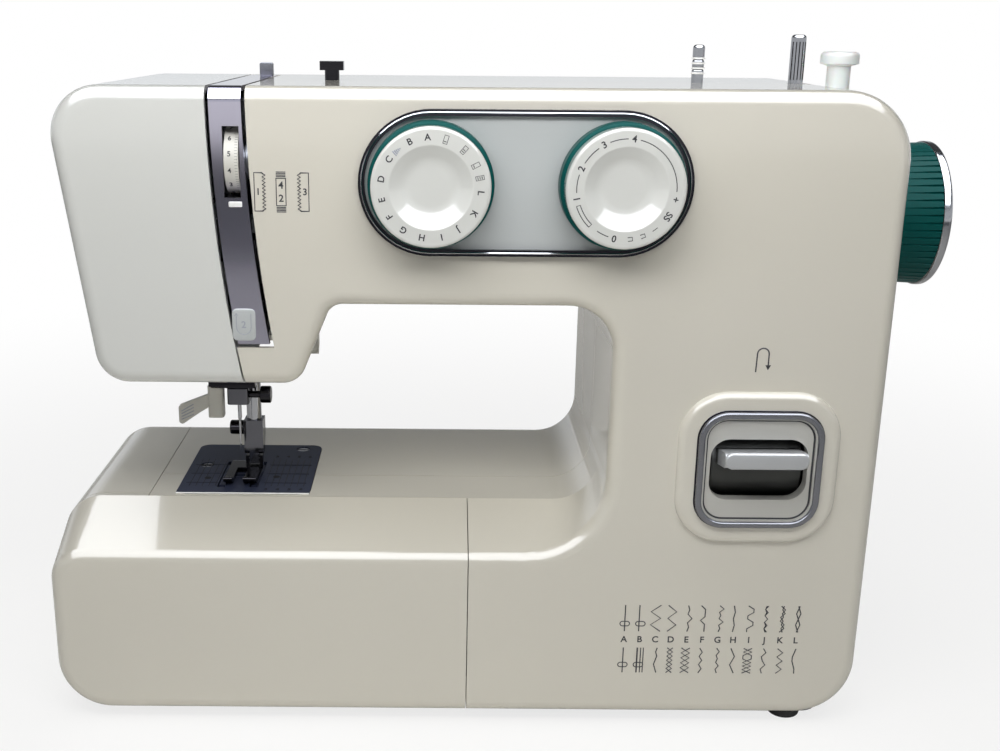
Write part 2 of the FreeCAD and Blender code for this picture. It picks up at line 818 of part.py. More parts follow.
reverse_bar = rod("reverse_bar", ALONG_X, ("cast_pillar_left", "drum_y", "drum_z"), "shaft_r",
                  "cast_right - cast_pillar_left")
node(cut("reverse_lever", fuse("reverse_blank", drum, paddle),
         rod("reverse_pivot", ALONG_X, ("reverse_x - drum_wide", "drum_y", "drum_z"), "shaft_r + run_fit",
             "2 * drum_wide")),
     "reverse_lever")
bar_arms = [slab("reverse_arm_%d" % i, (x, x + " + cast_web"), ("drum_y - shaft_r", "cast_front"),
                 ("drum_z - shaft_r", "drum_z + shaft_r")) for i,
                 x in enumerate(("cast_pillar_left", "cast_right - cast_web"))]

# Casting: a ribbed frame that carries the shafts, the guides and the needle plate
cast = body("cast_frame")
CAST = [("cast_pillar_left", "foot_height + base_thick"), ("cast_right", "foot_height + base_thick"),
        ("cast_right", "cast_top", "cast_round"), ("cast_left", "cast_top", "cast_round"),
        ("cast_left", "cast_arm_low", "cast_round"), ("cast_pillar_left", "cast_arm_low", "cast_round"),
        ("cast_pillar_left", "cast_bed_top", "cast_round"), ("cast_bed_left", "cast_bed_top", "cast_round"),
        ("cast_bed_left", "cast_bed_low", "cast_round"), ("cast_pillar_left", "cast_bed_low", "cast_round")]
pad_y(cast, "cast_frame", CAST, "cast_front", "cast_back")
windows = [("pillar", "cast_pillar_left + cast_rim", "cast_right - cast_rim", "cast_bed_top + cast_rim",
            "cast_arm_low - cast_rim"),
           ("arm", "cast_left + cast_rim", "cast_pillar_left - cast_rim", "cast_arm_low + cast_rim",
            "cast_top - cast_rim"),
           ("bed", "cast_bed_left + cast_rim", "cast_pillar_left - cast_rim", "cast_bed_low + cast_rim",
            "cast_bed_top - cast_rim")]
for tag, x0, x1, z0, z1 in windows:
    pocket_sketch = sketch(cast, "cast_pocket_" + tag, "XZ", "-cast_back",
                           rect(x0, x1, z0, z1, "cast_round"))
    pocket = feature(cast, "Pocket", "cast_hollow_" + tag, pocket_sketch,
                     Length="cast_back - cast_front - cast_web")


def lug(name, x, y0, z, half, width):
    return slab(name, (x, "%s + %s" % (x, width)), (y0, "cast_front"),
                ("%s - %s" % (z, half), "%s + %s" % (z, half)))


MAIN_FRONT = "shaft_y - lug_half"
LOWER_FRONT = "lower_y - lug_half"
SHELF = ("cast_bed_top - 2", "bed_top + plate_proud - plate_thick")
lugs = [lug("left_lug", "left_bush_x", MAIN_FRONT, "shaft_z", "lug_half", "bush_length"),
        lug("right_lug", "right_bush_x", MAIN_FRONT, "shaft_z", "lug_half", "bush_length"),
        lug("lower_left_lug", "left_bush_x", "hook_back + 1.5", "lower_z", "lug_half", "bush_length"),
        lug("lower_right_lug", "lower_right - bush_length", LOWER_FRONT, "lower_z", "lug_half",
            "bush_length"),
        lug("take_up_lug", "left_bush_x", "take_up_y - take_up_r", "take_up_z", "take_up_r", "cast_rim"),
        slab("lower_guide", ("guide_left", "guide_right"), ("guide_front", "cast_back"),
             ("guide_low", "guide_low + guide_thick")),
        slab("guide_leg", ("guide_left", "guide_right"), ("cast_front", "cast_back"),
             ("guide_low", "cast_arm_low + cast_rim")),
        slab("upper_guide", ("guide_left", "guide_right"), ("guide_front", "cast_front"),
             ("guide_high", "guide_high + guide_thick")),
        slab("plate_shelf", ("plate_left + cast_rim", "plate_right - cast_rim"),
             ("plate_front + 1", "plate_back - 1"), SHELF),
        slab("shelf_rib", ("plate_left + cast_rim", "plate_right - cast_rim"),
             ("plate_back - cast_rim", "cast_back"),
             ("cast_bed_top - cast_rim", "cast_bed_top + 2")),
        rod("take_up_pin", ALONG_X, ("take_up_x - take_up_thick", "take_up_y", "take_up_z"),
            "take_up_r / 2",
            "left_bush_x - take_up_x + 2 * take_up_thick"),
        rod("lifter_axle", ALONG_X, ("guide_right - 1", "lifter_y", "lifter_z"), "crank_pin_r",
            "lifter_x + lifter_width - guide_right + 2"),
        slab("hook_lug", ("needle_x - lug_half", "left_bush_x + bush_length"),
             ("hook_back + 1.5", "hook_back + 8.5"),
             ("lower_z - lug_half + 2", "lower_z + lug_half - 2")),
        slab("bobbin_finger", ("needle_x - 3", "needle_x + 3"),
             ("finger_front", "finger_front + finger_thick"),
             ("lower_z + bobbin_case_r - 4", "bed_top - 2 * wall")),
        common("face_post", hollow, slab("face_post_block", ("head_left_top", "cast_left + cast_rim"),
                                         ("cast_front", "cast_back"), ("shaft_z", "shaft_z + lug_half"))),
        common("strip_post", hollow, slab("strip_post_block", ("guide_right - 6", "guide_right + 3"),
                                          ("cast_front", "cast_back"),
                                          ("cast_top - cast_rim", "body_top"))),
        common("rear_post", hollow, slab("rear_post_block", ("timing_x", "timing_x + lug_half"),
                                         ("cast_front", "body_back"), ("cast_arm_low", "shaft_z"))),
        reverse_bar, bracket_front] + bar_arms + bracket_arms
bores = [rod("main_bore_left", ALONG_X, ("left_bush_x", "shaft_y", "shaft_z"), "bush_r", "bush_length"),
         rod("main_bore_right", ALONG_X, ("right_bush_x", "shaft_y", "shaft_z"), "bush_r", "bush_length"),
         rod("lower_bore", ALONG_X, ("left_bush_x", "lower_y", "lower_z"), "lower_r + run_fit",
             "lower_right - left_bush_x"),
         rod("hook_bore", ALONG_Y, ("needle_x", "hook_back", "lower_z"), "hook_shaft_r + run_fit",
             "margin"),
         rod("needle_bore", UPRIGHT, ("needle_x", "shaft_y", "guide_low"), "needle_bar_r + run_fit",
             "guide_high"),
         rod("presser_bore", UPRIGHT, ("presser_x", "presser_y", "guide_low"), "presser_r + run_fit",
             "guide_high"),
         rod("threader_bore", UPRIGHT, ("threader_left + threader_rod_r + 1", "threader_y", "guide_low"),
             "threader_rod_r + run_fit", "guide_thick"),
         slab("shelf_window", ("needle_x - hook_r - 1", "needle_x + hook_r + 1"),
              ("plate_front + 4", "plate_back - cast_rim - 1"),
              ("cast_bed_top - cast_rim", "bed_top"))] + bracket_bores
node(cut("arm_casting", fuse("cast_blank", cast, *lugs), *bores), "arm_casting")
bushes = [turned("bush_%d" % i, tube("0", "bush_length", "shaft_r + run_fit", "bush_r"),
                 (x, "shaft_y", "shaft_z"), ALONG_X)
          for i, x in enumerate(("left_bush_x", "right_bush_x"))]
node(group("bush_pair", *bushes), "main_shaft_bushes")

# Main shaft train
AXIS = ("shaft_y", "shaft_z")
node(rod("main_shaft_rod", ALONG_X, ("shaft_end",) + AXIS, "shaft_r", "wheel_face - wheel_web - shaft_end"),
     "main_shaft")
crank_disc = turned("crank_disc", [("0", "0"), ("crank_r", "0", "1"), ("crank_r", "crank_width", "1"),
                                   ("0", "crank_width")],
                    ("shaft_end - crank_width",) + AXIS, ALONG_X)
crank_pin = rod("crank_pin", ALONG_X, ("shaft_end - crank_width - link_gap - link_width - 1", "shaft_y",
                                       "shaft_z + stroke / 2"),
                "crank_pin_r", "link_gap + link_width + 2")
node(fuse("needle_crank", crank_disc, crank_pin), "needle_crank")
link = body("needle_link_plate")
LINK_TOP = "shaft_z + stroke / 2"
pad_x(link, "needle_link", rect("shaft_y - link_eye_r", "shaft_y + link_eye_r",
                                LINK_TOP + " - link_length - link_eye_r",
                                LINK_TOP + " + link_eye_r", "link_eye_r * 0.98"),
      "shaft_end - crank_width - link_gap - link_width", "shaft_end - crank_width - link_gap")
link_holes = [rod("link_hole_%d" % i, ALONG_X, ("shaft_end - margin", "shaft_y", z),
                  "crank_pin_r + run_fit", "margin")
              for i, z in enumerate((LINK_TOP, LINK_TOP + " - link_length"))]
node(cut("needle_link", link, *link_holes), "needle_link")


def pulley(name, x, y, z, radius, bore, width):
    """A flanged pulley whose waist carries the belt."""
    return turned(name, [(bore, "0"), (radius + " + 2", "0"), (radius + " + 2", "1.2"), (radius, "2"),
                         (radius, width + " - 2"), (radius + " + 2", width + " - 1.2"),
                         (radius + " + 2", width), (bore, width)],
                  (x, y, z), ALONG_X)


node(pulley("drive_pulley_turned", "drive_pulley_x", "shaft_y", "shaft_z", "drive_pulley_r", "shaft_r",
            "pulley_width"),
     "drive_pulley")
node(pulley("upper_timing", "timing_x", "shaft_y", "shaft_z", "timing_r", "shaft_r", "timing_width"),
     "upper_timing_pulley")
rim = body("handwheel_rim")
RIM = ("pillar_right + wheel_gap", "wheel_face - ring_width")
RIM_WIDE = "wheel_face - pillar_right - wheel_gap - ring_width"
rim_sketch = sketch(rim, "wheel_outline", "XZ", "0", [
    ("shaft_r", "0"), ("wheel_hub_r", "0"), ("wheel_hub_r", RIM_WIDE + " - 2 * wheel_web"),
    ("wheel_r - wheel_web", RIM_WIDE + " - 2 * wheel_web"), ("wheel_r - wheel_web", "0"),
    ("wheel_r - 1", "0", "0.8"), ("wheel_r", RIM_WIDE), ("shaft_r", RIM_WIDE)])
rim_turned = rim.newObject("PartDesign::Revolution", "wheel_turned")
rim_turned.Profile = rim_sketch
rim_turned.ReferenceAxis = (rim_sketch, ["V_Axis"])
rim_turned.Angle = 360
flute_sketch = sketch(rim, "flute_outline", "XY", "-1", [
    ("wheel_r - rib_depth", "0"), ("wheel_r + rib_depth", "-1.1"), ("wheel_r + rib_depth", "1.1")])
flute = feature(rim, "Pocket", "flute", flute_sketch,
                Length=RIM_WIDE + " + 2")
flute.Reversed = True
doc.recompute()
ribs = rim.newObject("PartDesign::PolarPattern", "wheel_ribs")
ribs.Originals = [flute]
ribs.Axis = (rim_sketch, ["V_Axis"])
ribs.Angle = 360
bind(ribs, Occurrences="wheel_ribs")
rim.Tip = ribs
place(rim, RIM[0], "shaft_y", "shaft_z", turn=ALONG_X)
node(rim, "handwheel")
ring = turned("wheel_ring", [("wheel_r - ring_thick", "0"), ("wheel_r + 0.6", "0", "0.8"),
                             ("wheel_r + 0.6", "ring_width", "1.6"),
                             ("wheel_r - ring_thick", "ring_width", "1.6")], (RIM[1], "shaft_y", "shaft_z"),
                             ALONG_X)
node(ring, "handwheel_ring")

# Lower shaft, bevel gears and rotary hook; the gears are plain pitch cones
CONE = "cone_reach"
SINE = "0.4472"
COSINE = "0.8944"
lower_gear_x = "needle_x + %s * %s" % (CONE, SINE)
lower = turned("lower_shaft_turned", [("0", "gear_backlash"), (CONE + " * " + COSINE, "gear_backlash"),
                                      (CONE + " * " + COSINE, "2 + gear_backlash"),
                                      ("lower_r", "4 + gear_backlash"),
                                      ("lower_r", "lower_right - (%s)" % lower_gear_x),
                                      ("0", "lower_right - (%s)" % lower_gear_x)],
               (lower_gear_x, "lower_y", "lower_z"), ALONG_X)
node(lower, "lower_shaft")
node(pulley("lower_timing", "timing_x", "lower_y", "lower_z", "timing_r", "lower_r", "timing_width"),
     "lower_timing_pulley")
hook_gear_y = "lower_y - %s * %s" % (CONE, COSINE)
hook_shaft = rod("hook_shaft", ALONG_Y, ("needle_x", "hook_back - 1", "lower_z"), "hook_shaft_r",
                 "%s - hook_back + 2" % hook_gear_y)
hook_gear = place(bind(add("Part::Cone", "hook_gear"), Radius1=CONE + " * " + SINE,
                       Radius2=CONE + " * " + SINE + " / 2",
                       Height="cone_face"), "needle_x", hook_gear_y + " - gear_backlash", "lower_z",
                       turn=ALONG_Y)
hook_cup = cut("hook_cup", rod("hook_cup_rod", ALONG_Y, ("needle_x", "hook_front", "lower_z"), "hook_r",
                               "hook_back - hook_front"),
               rod("hook_cup_bore", ALONG_Y, ("needle_x", "hook_front - 1", "lower_z"), "bobbin_case_r + 1",
                   "hook_back - hook_front - wall"))
node(fuse("rotary_hook", hook_cup, hook_shaft, hook_gear), "rotary_hook")
CASE_FRONT = "finger_front + finger_thick"
bobbin_cup = cut("bobbin_cup", rod("bobbin_case_rod", ALONG_Y, ("needle_x", CASE_FRONT, "lower_z"),
                                   "bobbin_case_r",
                                   "hook_back - (%s) - wall - 1.5" % CASE_FRONT),
                 rod("bobbin_case_bore", ALONG_Y, ("needle_x", CASE_FRONT + " + 2", "lower_z"),
                     "bobbin_r + seam", "margin"))
bobbin_post = rod("bobbin_post", ALONG_Y, ("needle_x", CASE_FRONT + " + 1", "lower_z"), "2 - run_fit", "10")
node(fuse("bobbin_case", bobbin_cup, bobbin_post), "bobbin_case")
node(turned("bobbin_turned", [("2", "0"), ("bobbin_r", "0"), ("bobbin_r", "1"), ("4", "1.4"), ("4", "8"),
                              ("bobbin_r", "8.4"),
                              ("bobbin_r", "9.4"), ("2", "9.4")],
                              ("needle_x", CASE_FRONT + " + 2.2", "lower_z"), ALONG_Y), "bobbin")

# Motor, its pulley and the two belts
motor_case = turned("motor_case", [("motor_shaft_r + run_fit", "0"), ("motor_r * 0.6", "0", "2"),
                                   ("motor_r", "8", "4"),
                                   ("motor_r", "motor_length - 8", "4"),
                                   ("motor_r * 0.6", "motor_length", "2"),
                                   ("motor_shaft_r + run_fit", "motor_length")],
                                   ("motor_left", "motor_y", "motor_z"), ALONG_X)
node(motor_case, "motor")
mount_block = slab("mount_block", ("mount_left", "mount_right"), ("mount_front", "mount_back"),
                   ("foot_height + base_thick", "mount_high"))
node(cut("motor_mount", mount_block, rod("mount_saddle", ALONG_X, ("mount_left - 1", "motor_y", "motor_z"),
                                         "motor_r + run_fit",
                                         "mount_right - mount_left + 2")), "motor_mount")
motor_shaft = rod("motor_shaft", ALONG_X, ("motor_left", "motor_y", "motor_z"), "motor_shaft_r",
                  "drive_pulley_x + pulley_width - motor_left")
node(fuse("motor_pulley", motor_shaft, pulley("motor_pulley_wheel", "drive_pulley_x", "motor_y", "motor_z",
                                              "motor_pulley_r", "1",
                                              "pulley_width")), "motor_pulley")


def belt_wire(spots):
    """A closed loop round two pulleys: two tangent runs joined by two arcs."""
    (y0, z0, r0), (y1, z1, r1) = spots
    way = V(0, y1 - y0, z1 - z0)
    span = way.Length
    way.normalize()
    side = V(0, -way.z, way.y)
    lean = (r0 - r1) / span
    points = []
    for sign in (1, -1):
        normal = way * lean + side * (sign * math.sqrt(1 - lean * lean))
        points.append((V(0, y0, z0) + normal * r0, V(0, y1, z1) + normal * r1))
    (a0, a1), (b0, b1) = points
    edges = [Part.LineSegment(a0, a1).toShape(), Part.Arc(a1, V(0, y1, z1) + way * r1, b1).toShape(),
             Part.LineSegment(b1, b0).toShape(), Part.Arc(b0, V(0, y0, z0) - way * r0, a0).toShape()]
    return Part.Wire(edges)


def belt(name, x, width, low, high):
    loops = []
    for extra in ("run_fit", "run_fit + belt_thick"):
        spots = [(num(y), num(z), num("%s + %s" % (r, extra))) for y, z, r in (low, high)]
        loops.append(Part.Face(belt_wire(spots)).extrude(V(num(width), 0, 0)))
    made = add("Part::Feature", name + "_loop")
    made.Shape = loops[1].cut(loops[0])
    place(made, x)
    node(made, name)


belt("timing_belt", "timing_x + 2.4", "timing_width - 4.8", ("lower_y", "lower_z", "timing_r"),
     ("shaft_y", "shaft_z", "timing_r"))
belt("drive_belt", "drive_pulley_x + 2.4", "pulley_width - 4.8", ("motor_y", "motor_z", "motor_pulley_r"),
     ("shaft_y", "shaft_z", "drive_pulley_r"))

# Needle bar with its clamp and needle
STUD_Z = LINK_TOP + " - link_length"
bar = rod("needle_bar_rod", UPRIGHT, ("needle_x", "shaft_y", "needle_bar_low"), "needle_bar_r",
          "needle_bar_high - needle_bar_low")
bar_stud = slab("needle_bar_stud", ("needle_x - link_eye_r", "guide_right"),
                ("shaft_y - link_eye_r", "shaft_y + link_eye_r - 1"),
                (STUD_Z + " - link_eye_r", STUD_Z + " + link_eye_r"))
node(fuse("needle_bar", bar, bar_stud), "needle_bar")
clamp = body("needle_clamp_block")
pad_z(clamp, "needle_clamp", rect("needle_x - clamp_half", "needle_x + clamp_half", "shaft_y - clamp_half",
                                  "shaft_y + clamp_half", "2"),
      "clamp_low", "clamp_high")
clamp_bores = [rod("clamp_bar_bore", UPRIGHT, ("needle_x", "shaft_y", "needle_bar_low"), "needle_bar_r",
                   "margin"),
               rod("clamp_needle_bore", UPRIGHT, ("needle_x", "shaft_y", "clamp_low - 1"), "needle_r",
                   "margin")]
node(cut("needle_clamp", clamp, *clamp_bores), "needle_clamp")
CLAMP_Z = "(clamp_low + clamp_high) / 2"
clamp_rod = rod("clamp_screw_rod", ALONG_X, ("needle_x + clamp_half", "shaft_y", CLAMP_Z), "1.6",
                "screw_reach - clamp_half - knob_width")
clamp_knob = turned("clamp_knob", [("0", "0"), ("knob_r", "0", "0.8"), ("knob_r", "knob_width", "0.8"),
                                   ("0", "knob_width")],
                    ("needle_x + screw_reach - knob_width", "shaft_y", CLAMP_Z), ALONG_X)
node(fuse("clamp_screw", clamp_rod, clamp_knob), "clamp_screw")
node(turned("needle_turned", [("0", "0"), ("needle_r * 0.55", "4"),
                              ("needle_r * 0.6", "needle_bar_low - needle_tip - 12"),
                              ("needle_r", "needle_bar_low - needle_tip - 10"),
                              ("needle_r", "needle_bar_low - needle_tip"),
                              ("0", "needle_bar_low - needle_tip")], ("needle_x", "shaft_y", "needle_tip"),
                              UPRIGHT), "needle")

# Presser bar, ankle, foot and the lever that lifts them
presser_rod = rod("presser_rod", UPRIGHT, ("presser_x", "presser_y", "presser_low"), "presser_r",
                  "presser_high - presser_low")
collar = slab("presser_collar", ("presser_x - presser_r - 2", "lifter_x + lifter_width"),
              ("presser_y - presser_r - 2", "lifter_y + 4"),
              ("collar_low", "collar_low + collar_thick"))
node(fuse("presser_bar", presser_rod, collar), "presser_bar")
ankle = body("presser_ankle_block")
pad_x(ankle, "presser_ankle", [("presser_y - ankle_half", "ankle_low", "2"),
                               ("presser_y", "ankle_low", "2"),
                               ("presser_y + ankle_half", "ankle_low + 8", "2"),
                               ("presser_y + ankle_half", "ankle_high"),
                               ("presser_y - ankle_half", "ankle_high")],
      "presser_x - ankle_half", "presser_x + ankle_half")
FOOT_PIN = ("presser_x - ankle_half + 0.5", "presser_y - 2.5", "foot_pin_z")
tongue = slab("ankle_tongue", ("presser_x - 2.2", "presser_x + 2.2"), ("presser_y - 4.5", "presser_y"),
              ("foot_pin_z - 1.9", "ankle_low + 3"))
node(cut("presser_ankle", fuse("ankle_blank", ankle, tongue),
         rod("ankle_bore", UPRIGHT, ("presser_x", "presser_y", "presser_low"), "presser_r", "margin"),
         rod("ankle_pin_bore", ALONG_X, FOOT_PIN, "foot_pin_r + run_fit", "2 * ankle_half")),
         "presser_ankle")
thumb = turned("ankle_thumb", [("0", "0"), ("thumb_r", "0", "0.8"), ("thumb_r", "thumb_length", "0.8"),
                               ("0", "thumb_length")],
               ("presser_x - ankle_half - thumb_length", "presser_y", "thumb_z"), ALONG_X)
node(thumb, "ankle_screw")
FOOT_Z = "bed_top + plate_proud"
foot = body("presser_foot_sole")
pad_x(foot, "presser_foot", [("foot_front", FOOT_Z + " + 2.4", "1"), ("foot_front + 4", FOOT_Z, "3"),
                             ("presser_y - 4", FOOT_Z),
                             ("foot_back", FOOT_Z + " + 1.3"),
                             ("foot_back", FOOT_Z + " + foot_thick", "1"),
                             ("foot_front + 4", FOOT_Z + " + foot_thick", "3"),
                             ("foot_front", FOOT_Z + " + foot_thick + 2.2", "0.8")],
      "foot_left", "foot_right")
toe_gap = slab("toe_gap", ("needle_x - toe_slot / 2", "needle_x + toe_slot / 2"),
               ("foot_front - 1", "shaft_y + 3.5"),
               (FOOT_Z + " - 1", "foot_pin_z + 4"))
ears = [slab("foot_ear_%d" % i, (x, x + " + 1.5"), ("presser_y - 4.5", "presser_y - 0.5"),
             (FOOT_Z + " + 1", "foot_pin_z + foot_pin_r + 0.6"))
        for i, x in enumerate(("presser_x - ankle_half + 0.5", "presser_x + ankle_half - 2"))]
foot_pin = rod("foot_pin", ALONG_X, FOOT_PIN, "foot_pin_r", "2 * ankle_half - 1")
node(cut("presser_foot", fuse("foot_blank", foot, foot_pin, *ears), toe_gap), "presser_foot")
lever = body("lifter_lever")
pad_x(lever, "lifter", [("lifter_y - 4", "lifter_tip_z + 4", "3"), ("lifter_y", "lifter_tip_z", "2"),
                        ("lifter_y + 5", "lifter_tip_z + 5", "3"),
                        ("lifter_y + 4", "lifter_z"), ("lifter_y - 4", "lifter_z")], "lifter_x",
                        "lifter_x + lifter_width")
lever_hub = rod("lifter_hub", ALONG_X, ("lifter_x", "lifter_y", "lifter_z"), "lifter_r", "lifter_width")
lifter_bore = rod("lifter_bore", ALONG_X, ("lifter_x - 1", "lifter_y", "lifter_z"), "crank_pin_r + run_fit",
                  "lifter_width + 2")
node(cut("presser_lifter", fuse("lifter_blank", lever, lever_hub), lifter_bore), "presser_lifter")

# Needle threader beside the needle bar
thread_block = body("threader_block")
pad_z(thread_block, "threader_block", rect("threader_left", "threader_right", "threader_y - 3.5",
                                           "threader_y + 3.5", "1.5"),
      "threader_low", "threader_high")
thread_lever = body("threader_lever_plate")
pad_y(thread_lever, "threader_lever", [("threader_lever", "threader_low - 5", "1.5"),
                                       ("threader_left - 4", "threader_low + 2", "2"),
                                       ("threader_left + 1", "threader_low + 5"),
                                       ("threader_left + 1", "threader_high - 4"),
                                       ("threader_lever", "threader_low + 5", "1.5")],
      "threader_y - threader_thick / 2", "threader_y + threader_thick / 2")
thread_rod = rod("threader_rod", UPRIGHT, ("threader_left + threader_rod_r + 1", "threader_y",
                                           "threader_high - 1"), "threader_rod_r",
                 "threader_rod_top - threader_high + 1")
node(fuse("needle_threader", thread_block, thread_lever, thread_rod), "needle_threader")

# Take-up lever
take_up = body("take_up_plate")
pad_x(take_up, "take_up", [("take_up_y - take_up_arm", "take_up_z + 14", "2"),
                           ("take_up_y", "take_up_z - take_up_r", "4.9"),
                           ("take_up_y + take_up_r", "take_up_z", "2"),
                           ("take_up_y", "take_up_z + take_up_r", "4.9"),
                           ("take_up_y - take_up_arm", "take_up_z + 21", "2")],
      "take_up_x - take_up_thick / 2", "take_up_x + take_up_thick / 2")
take_up_hub = rod("take_up_hub", ALONG_X, ("take_up_x - take_up_thick / 2", "take_up_y", "take_up_z"),
                  "take_up_r", "take_up_thick")
take_up_bore = rod("take_up_bore", ALONG_X, ("take_up_x - margin", "take_up_y", "take_up_z"),
                   "take_up_r / 2 + run_fit", "2 * margin")
take_up_eye = rod("take_up_eye", ALONG_X, ("take_up_x - margin", "take_up_y - take_up_arm + 4",
                                           "take_up_z + 17"), "1.2", "2 * margin")
node(cut("take_up_lever", fuse("take_up_blank", take_up, take_up_hub), take_up_bore, take_up_eye),
     "take_up_lever")

# Needle plate with its feed slots, and the feed dog below
PLATE = ("bed_top + plate_proud - plate_thick", "bed_top + plate_proud")
plate = body("needle_plate_sheet")
pad_z(plate, "needle_plate", rect("plate_left", "plate_right", "plate_front", "plate_back", "plate_round"),
      *PLATE)
plate_cuts = [slab("needle_hole", ("needle_x - 3.5", "needle_x + 3.5"), ("shaft_y - 1.5", "shaft_y + 1.5"),
                   (PLATE[0] + " - 1", PLATE[1] + " + 1"))]
feed_rows = []
for i, x in enumerate(("needle_x - feed_pitch", "needle_x + feed_pitch - feed_width")):
    plate_cuts.append(slab("feed_slot_%d" % i, (x + " - plate_fit - 0.2",
                                                x + " + feed_width + plate_fit + 0.2"),
                           ("feed_front - feed_shift - 1", "feed_back + feed_shift + 1"),
                           (PLATE[0] + " - 1", PLATE[1] + " + 1")))
    feed_rows.append(slab("feed_row_%d" % i, (x, x + " + feed_width"), ("feed_front", "feed_back"),
                          (PLATE[0] + " - 4", PLATE[1] + " - 0.4")))
SCREWS = (("plate_left + 8", "shaft_y + 14"), ("plate_right - 9", "plate_back - 6"))
for i, (x, y) in enumerate(SCREWS):
    plate_cuts.append(rod("plate_screw_hole_%d" % i, UPRIGHT, (x, y, PLATE[0] + " - 1"), "3 + plate_fit",
                          "2 * plate_thick"))
node(cut("needle_plate", plate, *plate_cuts), "needle_plate")
plate_screws = []
for i, (x, y) in enumerate(SCREWS):
    head = rod("plate_screw_%d" % i, UPRIGHT, (x, y, PLATE[0]), "3", "plate_thick - 0.3")
    slot = slab("screw_slot_%d" % i, (x + " - 4", x + " + 4"), (y + " - 0.5", y + " + 0.5"),
                (PLATE[1] + " - 1.1", PLATE[1] + " + 1"))
    plate_screws.append(cut("slotted_screw_%d" % i, head, slot))
node(group("needle_plate_screw_pair", *plate_screws), "needle_plate_screws")
feed_bar = slab("feed_bar", ("needle_x - hook_r - 1 + run_fit", "needle_x + hook_r + 1 - run_fit"),
                ("feed_front + 18", "feed_back"),
                (PLATE[0] + " - 6", PLATE[0] + " - 2.5"))
node(fuse("feed_dog", feed_bar, *feed_rows), "feed_dog")

# Fittings on the top
spool = turned("spool_pin_turned", [("0", "0"), ("spool_r + 1.5", "0"), ("spool_r + 1.5", "3"),
                                    ("spool_r", "3"),
                                    ("spool_r", "spool_stand + spool_sunk - 11"),
                                    ("spool_r - 0.6", "spool_stand + spool_sunk - 10"),
                                    ("spool_r", "spool_stand + spool_sunk - 9"),
                                    ("spool_r", "spool_stand + spool_sunk - 7"),
                                    ("spool_r - 0.6", "spool_stand + spool_sunk - 6"),
                                    ("spool_r", "spool_stand + spool_sunk - 5"),
                                    ("spool_r", "spool_stand + spool_sunk", "1.5"),
                                    ("0", "spool_stand + spool_sunk")],
               ("spool_x", "pin_y", "body_top - spool_sunk"), UPRIGHT)
node(spool, "spool_pin")
spindle = turned("winder_turned", [("0", "tyre_thick"), ("winder_r", "tyre_thick"),
                                   ("winder_r", "winder_stand + winder_sunk", "1.5"),
                                   ("0", "winder_stand + winder_sunk")],
                 ("winder_x", "pin_y", "body_top - winder_sunk"),
                                   UPRIGHT)
tyre = turned("winder_tyre", [("0", "0"), ("tyre_r", "0", "2"), ("tyre_r", "tyre_thick", "2"),
                              ("0", "tyre_thick")],
              ("winder_x", "pin_y", "body_top - winder_sunk"), UPRIGHT)
pivot = rod("winder_pivot", UPRIGHT, ("winder_x", "pin_y", "body_top - winder_sunk - 5"), "winder_r - 1", "6")
node(fuse("winder_spindle", spindle, tyre, pivot), "winder_spindle")
carriage = slab("carriage_block", ("winder_x - tyre_r", "winder_x + tyre_r / 2"),
                ("pin_y - 6", "cast_front"),
                ("body_top - winder_sunk - 5", "body_top - winder_sunk - seam"))
carriage_bore = rod("carriage_bore", UPRIGHT, ("winder_x", "pin_y", "body_top - winder_sunk - 6"),
                    "winder_r - 1 + run_fit", "margin")
node(cut("winder_carriage", carriage, carriage_bore), "winder_carriage")
stop = turned("winder_stop_turned", [("0", "0"), ("stop_neck_r", "0"),
                                     ("stop_neck_r", "stop_stand + stop_sunk - stop_cap"),
                                     ("stop_cap_r", "stop_stand + stop_sunk - stop_cap + 1"),
                                     ("stop_cap_r", "stop_stand + stop_sunk", "2"),
                                     ("0", "stop_stand + stop_sunk")],
              ("stop_x", "pin_y", "body_top - stop_sunk"),
                                     UPRIGHT)
node(stop, "winder_stop")
post_stem = rod("post_stem", UPRIGHT, ("post_x", "pin_y", "body_top"), "post_deep * 0.8",
                "post_stand - post_cap + 0.5")
post_top = body("post_cap_block")
pad_z(post_top, "post_cap", centred("post_x", "pin_y", "2 * post_half", "2 * post_deep", "1.5"),
      "body_top + post_stand - post_cap", "body_top + post_stand")
guide_post = fuse("thread_guide_post", post_stem, post_top)
guide_tab = slab("thread_guide_tab", ("tab_x", "tab_x + tab_wide"), ("tab_y", "tab_y + tab_thick"),
                 ("body_top", "body_top + tab_high"))
node(group("thread_guides", guide_post, guide_tab), "thread_guides")

# Mains inlet and rocker switch on the right side, lamp in the head
inlet_flange = slab("inlet_flange", ("pillar_right", "pillar_right + flange"),
                    ("inlet_y - inlet_wide / 2 - 2", "inlet_y + inlet_wide / 2 + 2"),
                    ("inlet_z - inlet_high / 2 - 2", "inlet_z + inlet_high / 2 + 2"))
inlet_box = slab("inlet_box", ("pillar_right - inlet_deep", "pillar_right + flange / 2"),
                 ("inlet_y - inlet_wide / 2", "inlet_y + inlet_wide / 2"),
                 ("inlet_z - inlet_high / 2", "inlet_z + inlet_high / 2"))
inlet_well = slab("inlet_well", ("pillar_right - inlet_deep + wall", "pillar_right + margin"),
                  ("inlet_y - inlet_wide / 2 + wall", "inlet_y + inlet_wide / 2 - wall"),
                  ("inlet_z - inlet_high / 2 + wall", "inlet_z + inlet_high / 2 - wall"))
inlet = cut("inlet_socket", fuse("inlet_blank", inlet_flange, inlet_box), inlet_well)
